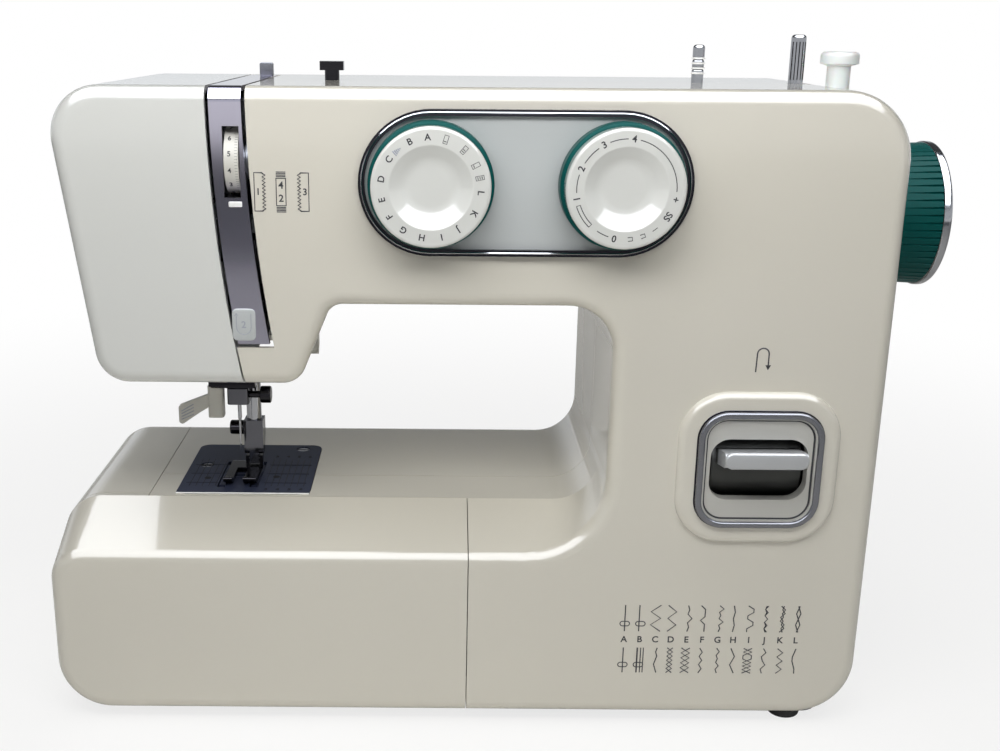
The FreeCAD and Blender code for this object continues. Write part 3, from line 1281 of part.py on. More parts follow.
switch_frame = cut("switch_frame_ring", slab("switch_block",
                                             ("pillar_right - inlet_deep + 2", "pillar_right + flange / 2"),
                                             ("switch_y - switch_wide / 2", "switch_y + switch_wide / 2"),
                                             ("inlet_z - switch_high / 2", "inlet_z + switch_high / 2")),
                   slab("switch_well", ("pillar_right - inlet_deep + 4", "pillar_right + margin"),
                        ("switch_y - switch_wide / 2 + 1.5", "switch_y + switch_wide / 2 - 1.5"),
                        ("inlet_z - switch_high / 2 + 1.5", "inlet_z + switch_high / 2 - 1.5")))
ROCKER_PIN = ("pillar_right - 3", "switch_y - switch_wide / 2 + 0.2", "inlet_z")
switch_seat = cut("switch_seat", switch_frame, rod("rocker_bore", ALONG_Y, ROCKER_PIN, "1.2 + run_fit",
                                                   "switch_wide"))
node(group("power_inlet", inlet, switch_seat), "power_inlet")
rocker = body("rocker_paddle")
pad_y(rocker, "rocker", [("pillar_right - 6", "inlet_z - switch_high / 2 + 3.5", "1"),
                         ("pillar_right + 3", "inlet_z - switch_high / 2 + 1.5 + rocker_fit", "1"),
                         ("pillar_right + 1.5", "inlet_z", "6"),
                         ("pillar_right + 3", "inlet_z + switch_high / 2 - 1.5 - rocker_fit", "1"),
                         ("pillar_right - 6", "inlet_z + switch_high / 2 - 3.5", "1")],
      "switch_y - switch_wide / 2 + 1.5 + rocker_fit / 2",
      "switch_y + switch_wide / 2 - 1.5 - rocker_fit / 2")
rocker_pin = rod("rocker_pin", ALONG_Y, ROCKER_PIN, "1.2", "switch_wide - 0.4")
node(fuse("power_switch", rocker, rocker_pin), "power_switch")
lamp_holder = slab("lamp_holder", ("lamp_x - lamp_r - 2", "lamp_x + lamp_r + 2"),
                   ("lamp_y + 2", "cast_front"), ("lamp_z + lamp_length * 0.4",
                                                  "lamp_z + lamp_length * 0.4 + 14"))
node(lamp_holder, "lamp_socket")
node(turned("lamp_bulb_turned", [("0", "0"), ("lamp_r * 0.6", "0", "2"), ("lamp_r * 0.6", "4"),
                                 ("lamp_r", "lamp_length * 0.55", "6"),
                                 ("lamp_r * 0.7", "lamp_length", "5"), ("0", "lamp_length")],
            ("lamp_x", "lamp_y + 2", "lamp_z + lamp_length * 0.4 + 7"), TO_FRONT), "lamp_bulb")

# Rubber feet under the base
feet = [turned("rubber_%d" % i, [("0", "0"), ("rubber_r - 1", "0", "1"), ("rubber_r", "foot_height"),
                                 ("0", "foot_height")], (x, y, "0"), UPRIGHT)
        for i, (x, y) in enumerate((("foot_right_x", "foot_front_y"), ("foot_right_x", "foot_back_y"),
                                    ("foot_left_x", "foot_arm_y"), ("foot_left_x", "foot_back_y")))]
node(group("rubber_foot_set", *feet), "rubber_feet")

doc.recompute()
failed = [o.Name for o in doc.Objects if {"Invalid", "Error"} & set(o.State)]
failed += [o.Label for o in nodes if o.Shape.isNull() or not o.Shape.isValid() or not o.Shape.Solids]
if failed:
    raise RuntimeError("not built: " + ", ".join(failed))
os.makedirs("parts", exist_ok=True)
for part in nodes:
    part.Shape.exportStep("parts/%s.step" % part.Label)
    box = part.Shape.optimalBoundingBox(False)
    print("%-22s solids %d  x %.1f %.1f  y %.1f %.1f  z %.1f %.1f" % (
        part.Label, len(part.Shape.Solids), box.XMin, box.XMax, box.YMin, box.YMax, box.ZMin, box.ZMax))
print(len(nodes), "nodes")
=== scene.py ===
import math

import bmesh
import bpy
from mathutils import Matrix, Vector


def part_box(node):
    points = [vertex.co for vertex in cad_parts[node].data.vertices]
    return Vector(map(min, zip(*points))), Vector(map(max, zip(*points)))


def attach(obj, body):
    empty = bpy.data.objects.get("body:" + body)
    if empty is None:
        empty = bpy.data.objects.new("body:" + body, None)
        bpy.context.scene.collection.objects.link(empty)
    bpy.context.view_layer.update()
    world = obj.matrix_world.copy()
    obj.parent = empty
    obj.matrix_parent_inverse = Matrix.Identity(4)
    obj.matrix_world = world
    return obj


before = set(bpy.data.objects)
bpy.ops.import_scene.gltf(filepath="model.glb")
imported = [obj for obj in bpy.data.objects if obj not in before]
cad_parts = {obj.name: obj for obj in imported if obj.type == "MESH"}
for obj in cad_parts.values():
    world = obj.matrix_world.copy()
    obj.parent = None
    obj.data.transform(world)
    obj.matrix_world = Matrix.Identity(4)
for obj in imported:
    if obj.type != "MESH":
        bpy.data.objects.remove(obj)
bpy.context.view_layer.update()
scene = bpy.context.scene

# Places and lengths on the machine are in millimetres, those of the studio in metres
MM = 0.001
TO_FRONT = Matrix.Rotation(math.radians(90), 4, "X")
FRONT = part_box("face_cover")[0].y / MM
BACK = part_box("rear_cover")[1].y / MM


def middle(node):
    """The middle of a node's box."""
    low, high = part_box(node)
    return (low + high) / (2 * MM)


# Materials

CLOUD = 40
GRAIN_STRENGTH = 0.25
COAT_ROUGHNESS = 0.05


def linear(hex_colour):
    """An sRGB hex colour as linear RGBA."""
    parts = [int(hex_colour[i:i + 2], 16) / 255 for i in (0, 2, 4)]
    return [c / 12.92 if c <= 0.04045 else ((c + 0.055) / 1.055) ** 2.4 for c in parts] + [1.0]


def add(tree, kind, inputs=(), **settings):
    """One node with its settings; an input is a value or another node's socket."""
    made = tree.nodes.new(kind)
    for key, value in settings.items():
        setattr(made, key, value)
    for key, value in dict(inputs).items():
        if isinstance(value, bpy.types.NodeSocket):
            tree.links.new(value, made.inputs[key])
        else:
            made.inputs[key].default_value = value
    return made


def finish(name, colour, rough, grain, depth, metallic=0.0, coat=0.0, mottle=0.03, **sockets):
    """A surface with a slight mottle of its colour, and a grain of a given width and depth.

    The real grain of these finishes is too fine to show, so it is drawn coarser.
    """
    made = bpy.data.materials.new(name)
    made.use_nodes = True
    tree = made.node_tree
    shader = tree.nodes["Principled BSDF"]
    shader.inputs["Roughness"].default_value = rough
    shader.inputs["Metallic"].default_value = metallic
    shader.inputs["Coat Weight"].default_value = coat
    shader.inputs["Coat Roughness"].default_value = COAT_ROUGHNESS
    for key, value in sockets.items():
        shader.inputs[key.replace("_", " ")].default_value = value
    place = add(tree, "ShaderNodeTexCoord").outputs["Object"]
    cloud = add(tree, "ShaderNodeTexNoise", {
        "Vector": place, "Scale": 1 / (CLOUD * MM), "Detail": 3.0})
    ramp = add(tree, "ShaderNodeValToRGB", {"Fac": cloud.outputs["Fac"]})
    base = linear(colour)[:3]
    ramp.color_ramp.elements[0].color = [c * (1 - mottle) for c in base] + [1.0]
    ramp.color_ramp.elements[1].color = [min(1.0, c * (1 + mottle)) for c in base] + [1.0]
    tree.links.new(ramp.outputs["Color"], shader.inputs["Base Color"])
    speck = add(tree, "ShaderNodeTexNoise", {
        "Vector": place, "Scale": 1 / (grain * MM), "Detail": 2.0})
    relief = add(tree, "ShaderNodeBump", {
        "Height": speck.outputs["Fac"], "Strength": GRAIN_STRENGTH, "Distance": depth * MM})
    tree.links.new(relief.outputs["Normal"], shader.inputs["Normal"])
    return made


# Injection-moulded ABS from a polished tool: a warm ivory skin with a clear gloss
IVORY = finish("ivory ABS moulding", "D8D4C8", 0.2, coat=0.8, grain=2.5, depth=0.006,
               mottle=0.012)
# The same moulding in a cooler white
WHITE = finish("white ABS moulding", "D8D9D5", 0.2, coat=0.8, grain=2.5, depth=0.006,
               mottle=0.012)
# Satin ABS of the dial panel: an even pale grey without a clear gloss
PANEL = finish("satin panel ABS", "BABEBE", 0.38, grain=0.8, depth=0.004, mottle=0.01)
# Satin ABS round the reverse lever: a warmer grey with a thin gloss
SURROUND = finish("satin surround ABS", "BFBEB8", 0.34, coat=0.2, grain=0.8, depth=0.004,
                  mottle=0.01)
# Coloured ABS: a deep sea green with a soft sheen
GREEN = finish("sea green ABS", "034A47", 0.36, Specular_IOR_Level=0.08, grain=1.5, depth=0.008)
# Vacuum-plated trim: a dark mirror with a violet cast
DARK_TRIM = finish("dark plated trim", "3C3B42", 0.16, metallic=1.0, grain=1.2, depth=0.003,
                   mottle=0.04)
# Lacquered metal strip: smooth silver with a faint violet tint
STRIP = finish("satin silver lacquer", "BAB7C5", 0.1, metallic=1.0, grain=0.9, depth=0.003,
               mottle=0.02)
# Bright nickel plating on turned steel: clear grey reflections
CHROME = finish("bright nickel plate", "A3A4A8", 0.12, metallic=1.0, grain=1.4, depth=0.003)
# Satin silver plating: soft grey reflections
SATIN = finish("satin silver plate", "77787D", 0.26, metallic=0.9, grain=0.9, depth=0.004,
               mottle=0.02)
# Black nickel plating: dark metal with bright edges
BLACK_NICKEL = finish("black nickel plate", "302F32", 0.14, metallic=1.0, grain=1.0, depth=0.004)
# Blued steel: a dark slate blue with almost no shine
PLATE = finish("blued steel plate", "2F3446", 0.4, Specular_IOR_Level=0.06, grain=0.5,
               depth=0.006, mottle=0.06)
# Turned mild steel: mid grey with a soft shine
STEEL = finish("turned steel", "8D9095", 0.3, metallic=1.0, grain=0.7, depth=0.005, mottle=0.05)
# Pressure die casting: dull grey with a fine skin
CASTING = finish("die cast aluminium", "A4A6A8", 0.5, metallic=0.9, grain=1.0, depth=0.03,
                 mottle=0.08)
# Sintered bearing bronze: dull yellow-brown metal
BRONZE = finish("sintered bronze", "A97C45", 0.42, metallic=1.0, grain=0.5, depth=0.02,
                mottle=0.08)
# Glass-filled nylon from a spark-eroded tool: matt black
BLACK = finish("black nylon", "1B1B1D", 0.5, grain=0.5, depth=0.015, mottle=0.06)
# Moulded nylon of the small levers and wheels: matt pale grey
GREY = finish("grey nylon", "CFCDC5", 0.45, grain=0.6, depth=0.012)
# Vulcanised rubber: a dull near-black
RUBBER = finish("vulcanised rubber", "19191A", 0.75, grain=0.6, depth=0.03, mottle=0.08)
# Natural polypropylene: a milky white that lets some light in
MILKY = finish("natural polypropylene", "EEEFEE", 0.35, grain=1.2, depth=0.005, mottle=0.01,
               Subsurface_Weight=0.2)
# Blown bulb glass: clear with a slight warm tint
GLASS = finish("clear bulb glass", "F4F2EA", 0.06, grain=3.0, depth=0.002, mottle=0.01,
               Transmission_Weight=0.9)
# Pad-printed ink: flat near-black
INK = finish("black printing ink", "26262A", 0.6, grain=0.4, depth=0.004)
# Pale paint in shallow lines: flat blue-grey
PALE_INK = finish("pale grey paint", "9FA3AE", 0.6, grain=0.4, depth=0.004)
# Black filler in the plate's engraving: a shade darker than the blued steel; the same black is painted
# shade in two round holes of the plate
ENGRAVING_AND_HOLE_SHADE = finish("black engraving and hole shade", "0B0C11", 0.5, Specular_IOR_Level=0.1, grain=0.4,
                  depth=0.004)
# Smoky nickel plating of the clamp and the ankle: a dim mirror
SMOKE = finish("smoky nickel plate", "5D5D62", 0.1, metallic=1.0, grain=1.0, depth=0.004)
# White enamel: clean white with a light gloss
ENAMEL = finish("white enamel", "F4F4F2", 0.3, grain=1.0, depth=0.004, mottle=0.01)

# The second colour is painted shade: the drum behind the paddle is darkened for the shadow in its
# hollow
LEVER_PAINT, LEVER_DRUM_SHADE = "B2B4B6", "363735"
PAINT_FADE = 2


def lever_plastic():
    """Silver paint on the finger paddle, and painted shade on the drum behind it: a dark grey for the
    hollow the drum sits in.
    """
    made = finish("silver painted nylon", LEVER_PAINT, 0.34, metallic=0.4, grain=0.9, depth=0.005)
    tree = made.node_tree
    place = add(tree, "ShaderNodeTexCoord")
    axes = add(tree, "ShaderNodeSeparateXYZ", {"Vector": place.outputs["Object"]})
    shaded_drum = add(tree, "ShaderNodeMapRange", {
        "Value": axes.outputs["Y"], "From Min": (FRONT - PAINT_FADE) * MM, "From Max": FRONT * MM})
    # Inputs 6 and 7 and output 2 are the mix node's colours
    both = add(tree, "ShaderNodeMix", {
        "Factor": shaded_drum.outputs["Result"], 6: linear(LEVER_PAINT), 7: linear(LEVER_DRUM_SHADE)},
        data_type="RGBA")
    tree.links.new(both.outputs[2], tree.nodes["Principled BSDF"].inputs["Base Color"])
    return made


LEVER = lever_plastic()
DRESS = {
    IVORY: "front_cover rear_cover accessory_box accessory_lid",
    WHITE: "face_cover pattern_dial length_dial bobbin_case",
    PANEL: "dial_panel",
    SURROUND: "reverse_bezel",
    GREEN: "handwheel pattern_dial_skirt length_dial_skirt",
    DARK_TRIM: "dial_bezel",
    STRIP: "face_strip",
    LEVER: "reverse_lever",
    CHROME: "handwheel_ring winder_spindle spool_pin needle needle_bar presser_bar "
            "take_up_lever needle_plate_screws",
    SMOKE: "needle_clamp presser_ankle",
    BLACK_NICKEL: "presser_foot ankle_screw clamp_screw thread_guides",
    PLATE: "needle_plate feed_dog",
    STEEL: "main_shaft needle_crank needle_link lower_shaft rotary_hook tension_stud",
    CASTING: "arm_casting",
    BRONZE: "main_shaft_bushes",
    BLACK: "base_plate motor motor_mount motor_pulley drive_pulley power_inlet power_switch "
           "winder_carriage lamp_socket",
    GREY: "needle_threader upper_timing_pulley lower_timing_pulley bobbin presser_lifter "
          "tension_dial",
    RUBBER: "timing_belt drive_belt rubber_feet",
    MILKY: "winder_stop",
    GLASS: "lamp_bulb",
}
for material, names in DRESS.items():
    for name in names.split():
        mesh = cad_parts[name].data
        mesh.materials.clear()
        mesh.materials.append(material)


# Ways to make the small pieces

CREASE = math.radians(35)
CAP_SHARE = 0.7
PRINT_THICK = 0.05
PRINT_BOLD = 0.03
CORNER_STEPS, SOFT_STEPS = 10, 3
LEVEL_NORMAL, TOUCH = 0.9, 1e-7


def shaped(name, bm, body, material):
    """Show a bmesh as a piece on the body that carries it, smooth across edges below the crease."""
    bmesh.ops.recalc_face_normals(bm, faces=bm.faces)
    mesh = bpy.data.meshes.new(name)
    bm.to_mesh(mesh)
    bm.free()
    mesh.polygons.foreach_set("use_smooth", [True] * len(mesh.polygons))
    mesh.set_sharp_from_angle(angle=CREASE)
    mesh.materials.append(material)
    made = bpy.data.objects.new(name, mesh)
    scene.collection.objects.link(made)
    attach(made, body)


def stamp(bm, data, place):
    """Add the mesh of a text or a curve, made before its place is applied."""
    carrier = bpy.data.objects.new("carrier", data)
    scene.collection.objects.link(carrier)
    bpy.context.view_layer.update()
    solid = carrier.evaluated_get(bpy.context.evaluated_depsgraph_get())
    mesh = bpy.data.meshes.new_from_object(solid)
    bpy.data.objects.remove(carrier)
    mesh.transform(place)
    bm.from_mesh(mesh)


def glyph(bm, text, place, high):
    """Print a letter or number of a given cap height."""
    data = bpy.data.curves.new("glyph", "FONT")
    data.body = text
    data.size = high / CAP_SHARE * MM
    data.align_x = "CENTER"
    data.align_y = "CENTER"
    data.extrude = PRINT_THICK * MM
    data.offset = PRINT_BOLD * high * MM
    data.resolution_u = 4
    stamp(bm, data, place)


def line(bm, points, wide, place=Matrix.Identity(4), closed=False):
    """A printed or engraved line through points, half sunk in the surface."""
    data = bpy.data.curves.new("line", "CURVE")
    data.dimensions = "3D"
    data.bevel_depth = wide / 2 * MM
    data.bevel_resolution = 0
    data.use_fill_caps = True
    run = data.splines.new("POLY")
    run.points.add(len(points) - 1)
    run.use_cyclic_u = closed
    for spot, point in zip(run.points, points):
        spot.co = [c * MM for c in point] + [1.0]
    stamp(bm, data, place)


def arc(centre, radius, start, end, steps=16):
    """Points on an arc in the plane; angles run clockwise from the top."""
    turns = [math.radians(start + (end - start) * i / steps) for i in range(steps + 1)]
    return [(centre[0] + radius * math.sin(t), centre[1] + radius * math.cos(t), 0) for t in turns]


def oblong(half_wide, half_high):
    """The four corners of an oblong round the middle of its place."""
    return [(-half_wide, -half_high, 0), (half_wide, -half_high, 0),
            (half_wide, half_high, 0), (-half_wide, half_high, 0)]


def at(spot):
    """A place at a point of the machine."""
    return Matrix.Translation(Vector(spot) * MM)


def on_front(x, z, y=FRONT, turn=0.0):
    """A place on a face that looks to the front, turned clockwise."""
    return at((x, y, z)) @ TO_FRONT @ Matrix.Rotation(math.radians(-turn), 4, "Z")


def rounded(name, body, material, place, wide, high, corner, thick, soft, rim=0):
    """Show a flat plate with round corners and a soft upper edge, or only the rim of one."""
    bm = bmesh.new()
    bmesh.ops.create_grid(bm, x_segments=1, y_segments=1, size=0.5)
    bmesh.ops.scale(bm, verts=bm.verts, vec=(wide * MM, high * MM, 1))
    bmesh.ops.bevel(bm, geom=bm.verts[:], offset=corner * MM, segments=CORNER_STEPS, profile=0.5,
                    affect="VERTICES", material=-1)
    if rim:
        inset = bmesh.ops.inset_region(bm, faces=bm.faces[:], thickness=rim * MM,
                                       use_boundary=True, use_even_offset=True)
        border = set(inset["faces"])
        bmesh.ops.delete(bm, geom=[f for f in bm.faces if f not in border], context="FACES")
    raised = bmesh.ops.extrude_face_region(bm, geom=bm.faces[:])["geom"]
    top = thick * MM
    bmesh.ops.translate(bm, verts=[v for v in raised if isinstance(v, bmesh.types.BMVert)],
                        vec=(0, 0, top))
    upper = [e for e in bm.edges if all(abs(v.co.z - top) < TOUCH for v in e.verts)]
    edge = [e for e in upper if sum(abs(f.normal.z) > LEVEL_NORMAL for f in e.link_faces) < 2]
    bmesh.ops.bevel(bm, geom=edge, offset=soft * MM, segments=SOFT_STEPS, profile=0.5,
                    affect="EDGES", material=-1)
    bm.transform(place)
    shaped(name, bm, body, material)


# Selector dials: letters, numbers and marks printed round the dished faces

PATTERN = middle("pattern_dial")
LENGTH = middle("length_dial")
DIAL_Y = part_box("pattern_dial")[0].y / MM
PRINT_RADIUS = 19.2
STITCH_LETTERS = "ABCDEFGHIJKL"
LETTER_ANGLES = (-4, -25, -56, -80, -104, -125, -147, -170, 167, 146, 120, 95)


def on_dial(dial, angle=0.0, radius=0.0):
    """A place on a dial's face, at an angle clockwise from the top."""
    return on_front(dial.x, dial.z, DIAL_Y, angle) @ Matrix.Translation((0, radius * MM, 0))


letters = bmesh.new()
for text, angle in zip(STITCH_LETTERS, LETTER_ANGLES):
    glyph(letters, text, on_dial(PATTERN, angle, PRINT_RADIUS), high=2.5)
for angle, bars in ((17, 1), (41, 2), (63, 1), (78, 3)):
    place = on_dial(PATTERN, angle, PRINT_RADIUS)
    line(letters, oblong(0.8, 1.6), wide=0.3, place=place, closed=True)
    for i in range(bars):
        rise = (i - 1) * 0.8
        line(letters, [(-0.5, rise, 0), (0.5, rise, 0)], wide=0.3, place=place)
shaped("pattern_dial_letters", letters, "pattern_dial", INK)

pointer = bmesh.new()
for i in range(5):
    x = -1.6 + i * 0.7
    half = 1.2 - i * 0.24
    line(pointer, [(x, -half, 0), (x, half, 0)], wide=0.5, place=on_dial(PATTERN, -42, 19.0))
shaped("pattern_dial_pointer", pointer, "pattern_dial", PALE_INK)

numbers = bmesh.new()
NUMBER_ANGLES = (("4", 6), ("3", -29), ("2", -66), ("1", -101), ("0", -168), ("SS", 122), ("+", 101))
for text, angle in NUMBER_ANGLES:
    glyph(numbers, text, on_dial(LENGTH, angle, PRINT_RADIUS), high=2.6)
for start, end in ((-94, -73), (-59, -36), (-22, -1), (13, 92), (-146, -161)):
    line(numbers, arc((0, 0), PRINT_RADIUS, start, end), wide=0.36, place=on_dial(LENGTH))
window = arc((0, 0), 18.6, -109, -136) + arc((0, 0), 20.1, -136, -109)
line(numbers, window, wide=0.35, place=on_dial(LENGTH), closed=True)
bracket = [(1.0, -0.7, 0), (-0.8, -0.7, 0), (-0.8, 0.7, 0), (1.0, 0.7, 0)]
for angle in (173, 158):
    line(numbers, bracket, wide=0.35, place=on_dial(LENGTH, angle, PRINT_RADIUS))
line(numbers, arc((0, 0), PRINT_RADIUS, 146, 139), wide=0.3, place=on_dial(LENGTH))
shaped("length_dial_numbers", numbers, "length_dial", INK)

# Bright bead along the middle of the dial bezel
BEZEL_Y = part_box("dial_bezel")[0].y / MM
BEAD_RADIUS, BEAD_STEPS = 27.5, 24
bead = bmesh.new()
right_end = arc((LENGTH.x, LENGTH.z), BEAD_RADIUS, 0, 180, BEAD_STEPS)
left_end = arc((PATTERN.x, PATTERN.z), BEAD_RADIUS, 180, 360, BEAD_STEPS)
line(bead, right_end + left_end, wide=0.8, place=on_front(0, 0, BEZEL_Y), closed=True)
shaped("bezel_bead", bead, "frame", CHROME)


# Stitch chart: two rows of motifs, each a line that steps sideways, with their letters between

CHART_X, CHART_Z, CHART_PITCH = 59.8, 42.6, 6.89
UPPER_Z, UPPER_HIGH = CHART_Z + 10.4, 12.6
LOWER_Z, LOWER_HIGH = CHART_Z - 10.1, 12.2
MIDDLE_STEP, STEP_WIDE = 5, 0.62
UPPER = ("555555", "444444", "81818", "28282", "5658565", "36663666",
         "585658565", "45454", "377337733", "546464546", "65746574", "56765456")
LOWER = ("555555", "4444", "7676567", "3737373", "282828", "4646464",
         "57565756", "4747", "28228282", "5745745", "4848484", "6544566")


def column(i):
    """The middle of a column of the chart."""
    return CHART_X + CHART_PITCH * i


def motif(bm, steps, x, z, high):
    """Print a stitch from its sideways steps, listed from the top."""
    gap = high / (len(steps) - 1)
    run = [((int(s) - MIDDLE_STEP) * STEP_WIDE, high / 2 - i * gap, 0) for i, s in enumerate(steps)]
    line(bm, run, wide=0.52, place=on_front(x, z))


chart = bmesh.new()
for i, letter in enumerate(STITCH_LETTERS):
    glyph(chart, letter, on_front(column(i), CHART_Z), high=2.9)
    motif(chart, UPPER[i], column(i), UPPER_Z, UPPER_HIGH)
    motif(chart, LOWER[i], column(i), LOWER_Z, LOWER_HIGH)
# A flat loop across each straight stitch, and three more threads in the lower one of the second column
loop = arc((1.0, 0), 1.1, 0, 180, 8) + arc((-1.0, 0), 1.1, 180, 360, 8)
for z in (50.3, 30.2):
    for i in (0, 1):
        line(chart, loop, wide=0.46, place=on_front(column(i), z), closed=True)
for x in (-0.8, 0.8, 2.0):
    thread = [(x, LOWER_HIGH / 2, 0), (x, -LOWER_HIGH / 2, 0)]
    line(chart, thread, wide=0.46, place=on_front(column(1), LOWER_Z))
# Crossed stitches have a mirror image, and the last upper ones an upturned one
for i in (3, 4, 8):
    mirrored = "".join(str(2 * MIDDLE_STEP - int(s)) for s in LOWER[i])
    motif(chart, mirrored, column(i), LOWER_Z, LOWER_HIGH)
for i in (9, 10, 11):
    motif(chart, UPPER[i][::-1], column(i), UPPER_Z, UPPER_HIGH)
shaped("stitch_chart", chart, "frame", INK)

# Reverse sign: a line that turns back on itself and ends in a flat arrow head
SIGN_X, SIGN_Z, SIGN_TURN = 110.6, 170.9, 2.4
sign = bmesh.new()
crook = arc((0, 2.6), SIGN_TURN, -90, 90, 10)
line(sign, [(-2.6, -5.2, 0), (-SIGN_TURN, 2.6, 0)] + crook + [(SIGN_TURN, -2.4, 0)], wide=0.6,
     place=on_front(SIGN_X, SIGN_Z))
flattened = TO_FRONT @ Matrix.Scale(0.25, 4, (0, 1, 0))
bmesh.ops.create_cone(sign, cap_ends=True, segments=12, radius1=1.2 * MM, radius2=0,
                      depth=2.2 * MM, matrix=on_front(SIGN_X + SIGN_TURN, SIGN_Z - 3.3) @ flattened)
shaped("reverse_sign", sign, "frame", INK)


# Buttonhole steps: two toothed sides and the two ends between them, with their order

STEPS_Z, STEP_SIDE, STEP_END = 238.4, 1.9, 7.6
TEETH, TOOTH, TOOTH_PITCH = 21, 0.6, 0.74


def buttonhole_side(bm, x, order, flip):
    """A bracket with teeth along its open side; flip is 1 where that is the right one."""
    place = on_front(x, STEPS_Z)
    bracket = [(flip * 1.5, STEP_END, 0), (-flip * STEP_SIDE, STEP_END, 0),
               (-flip * STEP_SIDE, -STEP_END, 0), (flip * 1.5, -STEP_END, 0)]
    line(bm, bracket, wide=0.5, place=place)
    teeth = [(flip * (STEP_SIDE + (TOOTH if i % 2 else -TOOTH)), 7.4 - i * TOOTH_PITCH, 0)
             for i in range(TEETH)]
    line(bm, teeth, wide=0.55, place=place)
    glyph(bm, order, on_front(x - flip * 0.4, STEPS_Z), high=2.6)


def buttonhole_ends(bm, x):
    """An oblong for the middle steps, with four bars above it and four below."""
    place = on_front(x, STEPS_Z)
    line(bm, oblong(STEP_SIDE, 5.4), wide=0.5, place=place, closed=True)
    for i in range(4):
        for z in (6.1 + i * 0.6, -6.1 - i * 0.6):
            line(bm, [(-STEP_SIDE, z, 0), (STEP_SIDE, z, 0)], wide=0.42, place=place)
    glyph(bm, "4", on_front(x, STEPS_Z + 2.6), high=2.8)
    glyph(bm, "2", on_front(x, STEPS_Z - 2.6), high=2.8)


steps = bmesh.new()
buttonhole_side(steps, -95.0, "1", 1)
buttonhole_ends(steps, -86.3)
buttonhole_side(steps, -77.2, "3", -1)
shaped("buttonhole_steps", steps, "frame", INK)

# Reverse lever: plated surround, dark lines inside and round it, and the rolled lip of the paddle
LEVER_MIDDLE = middle("reverse_bezel")
PADDLE_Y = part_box("reverse_lever")[0].y / MM
rounded("reverse_trim", "frame", SATIN, on_front(LEVER_MIDDLE.x, LEVER_MIDDLE.z, FRONT - 3.6),
        wide=52.4, high=51.4, corner=12.2, thick=1.6, soft=0.8, rim=2.7)
rounded("reverse_groove", "frame", INK, on_front(LEVER_MIDDLE.x, LEVER_MIDDLE.z, FRONT - 2.75),
        wide=45.6, high=44.6, corner=8.8, thick=0.15, soft=0.05, rim=0.8)
rounded("reverse_halo", "frame", DARK_TRIM, on_front(LEVER_MIDDLE.x, LEVER_MIDDLE.z, FRONT - 2.9),
        wide=53.4, high=52.4, corner=12.7, thick=0.3, soft=0.1, rim=0.7)
rounded("paddle_lip", "reverse_lever", LEVER,
        on_front(LEVER_MIDDLE.x, LEVER_MIDDLE.z + 8, PADDLE_Y + 0.6),
        wide=34.6, high=7.2, corner=3.4, thick=1.4, soft=0.9)

# Face strip: threading pad with its mark, and the white marker bar
PAD_X, PAD_Z = -102.9, 184.2
PAD_FACE = FRONT - 0.7
rounded("threading_pad", "frame", PANEL, on_front(PAD_X, PAD_Z, FRONT + 0.1),
        wide=9.6, high=13.4, corner=2.2, thick=0.8, soft=0.4)
way = bmesh.new()
way_place = on_front(PAD_X, PAD_Z + 0.4, PAD_FACE)
bend = arc((0, -1.4), 3.0, 270, 90, 10)[1:]
line(way, [(-3.0, 4.4, 0), (-3.0, -1.4, 0)] + bend + [(3.0, 4.4, 0)], wide=0.3, place=way_place)
line(way, [(-3.7, 3.3, 0), (-3.0, 4.6, 0), (-2.3, 3.3, 0)], wide=0.3, place=way_place)
glyph(way, "2", on_front(PAD_X, PAD_Z, PAD_FACE), high=2.8)
shaped("threading_mark", way, "frame", PALE_INK)
rounded("tension_marker", "frame", ENAMEL, on_front(-104.6, 233.4, FRONT + 0.1),
        wide=5.4, high=2.2, corner=0.5, thick=0.5, soft=0.2)


# Tension wheel: numbers and grip lines round its rim

WHEEL = middle("tension_dial")
WHEEL_RADIUS = 13.5


def on_wheel(across, tilt, sunk=0.0):
    """A point on the rim, tilted up from the front."""
    radius = WHEEL_RADIUS - sunk
    return WHEEL + Vector((across, -radius * math.cos(tilt), radius * math.sin(tilt)))


scale = bmesh.new()
for i in range(10):
    tilt = math.radians(-126 + i * 28)
    facing_out = Matrix.Rotation(math.radians(90) - tilt, 4, "X")
    glyph(scale, str(i), at(on_wheel(-0.7, tilt)) @ facing_out, high=2.0)
for i in range(72):
    tilt = math.radians(i * 5)
    line(scale, [on_wheel(1.4, tilt, sunk=0.1), on_wheel(2.6, tilt, sunk=0.1)], wide=0.3)
shaped("tension_scale", scale, "tension_dial", INK)

# Needle plate: engraved seam guides with their numbers, painted shade in two of its holes, square
# front corners, and a white line along the front edge that is a painted highlight
PLATE_LOW, PLATE_HIGH = [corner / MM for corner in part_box("needle_plate")]
PLATE_TOP = PLATE_HIGH.z
RIGHT_GUIDES, LEFT_GUIDES = range(-103, -84, 3), range(-126, -139, -3)
CORNER_SIZE = 5
guides_and_hole_shade = bmesh.new()
for x in (*RIGHT_GUIDES, *LEFT_GUIDES):
    line(guides_and_hole_shade, [(x, -16, PLATE_TOP), (x, 20, PLATE_TOP)], wide=0.28)
for y in (-12, 0, 12):
    for start, end in ((-104, -84), (-140, -125)):
        line(guides_and_hole_shade, [(start, y, PLATE_TOP), (end, y, PLATE_TOP)], wide=0.24)
for i, text in enumerate("3456"):
    for y in (24, -20):
        glyph(guides_and_hole_shade, text, at((-102 + i * 5.4, y, PLATE_TOP)), high=2.4)
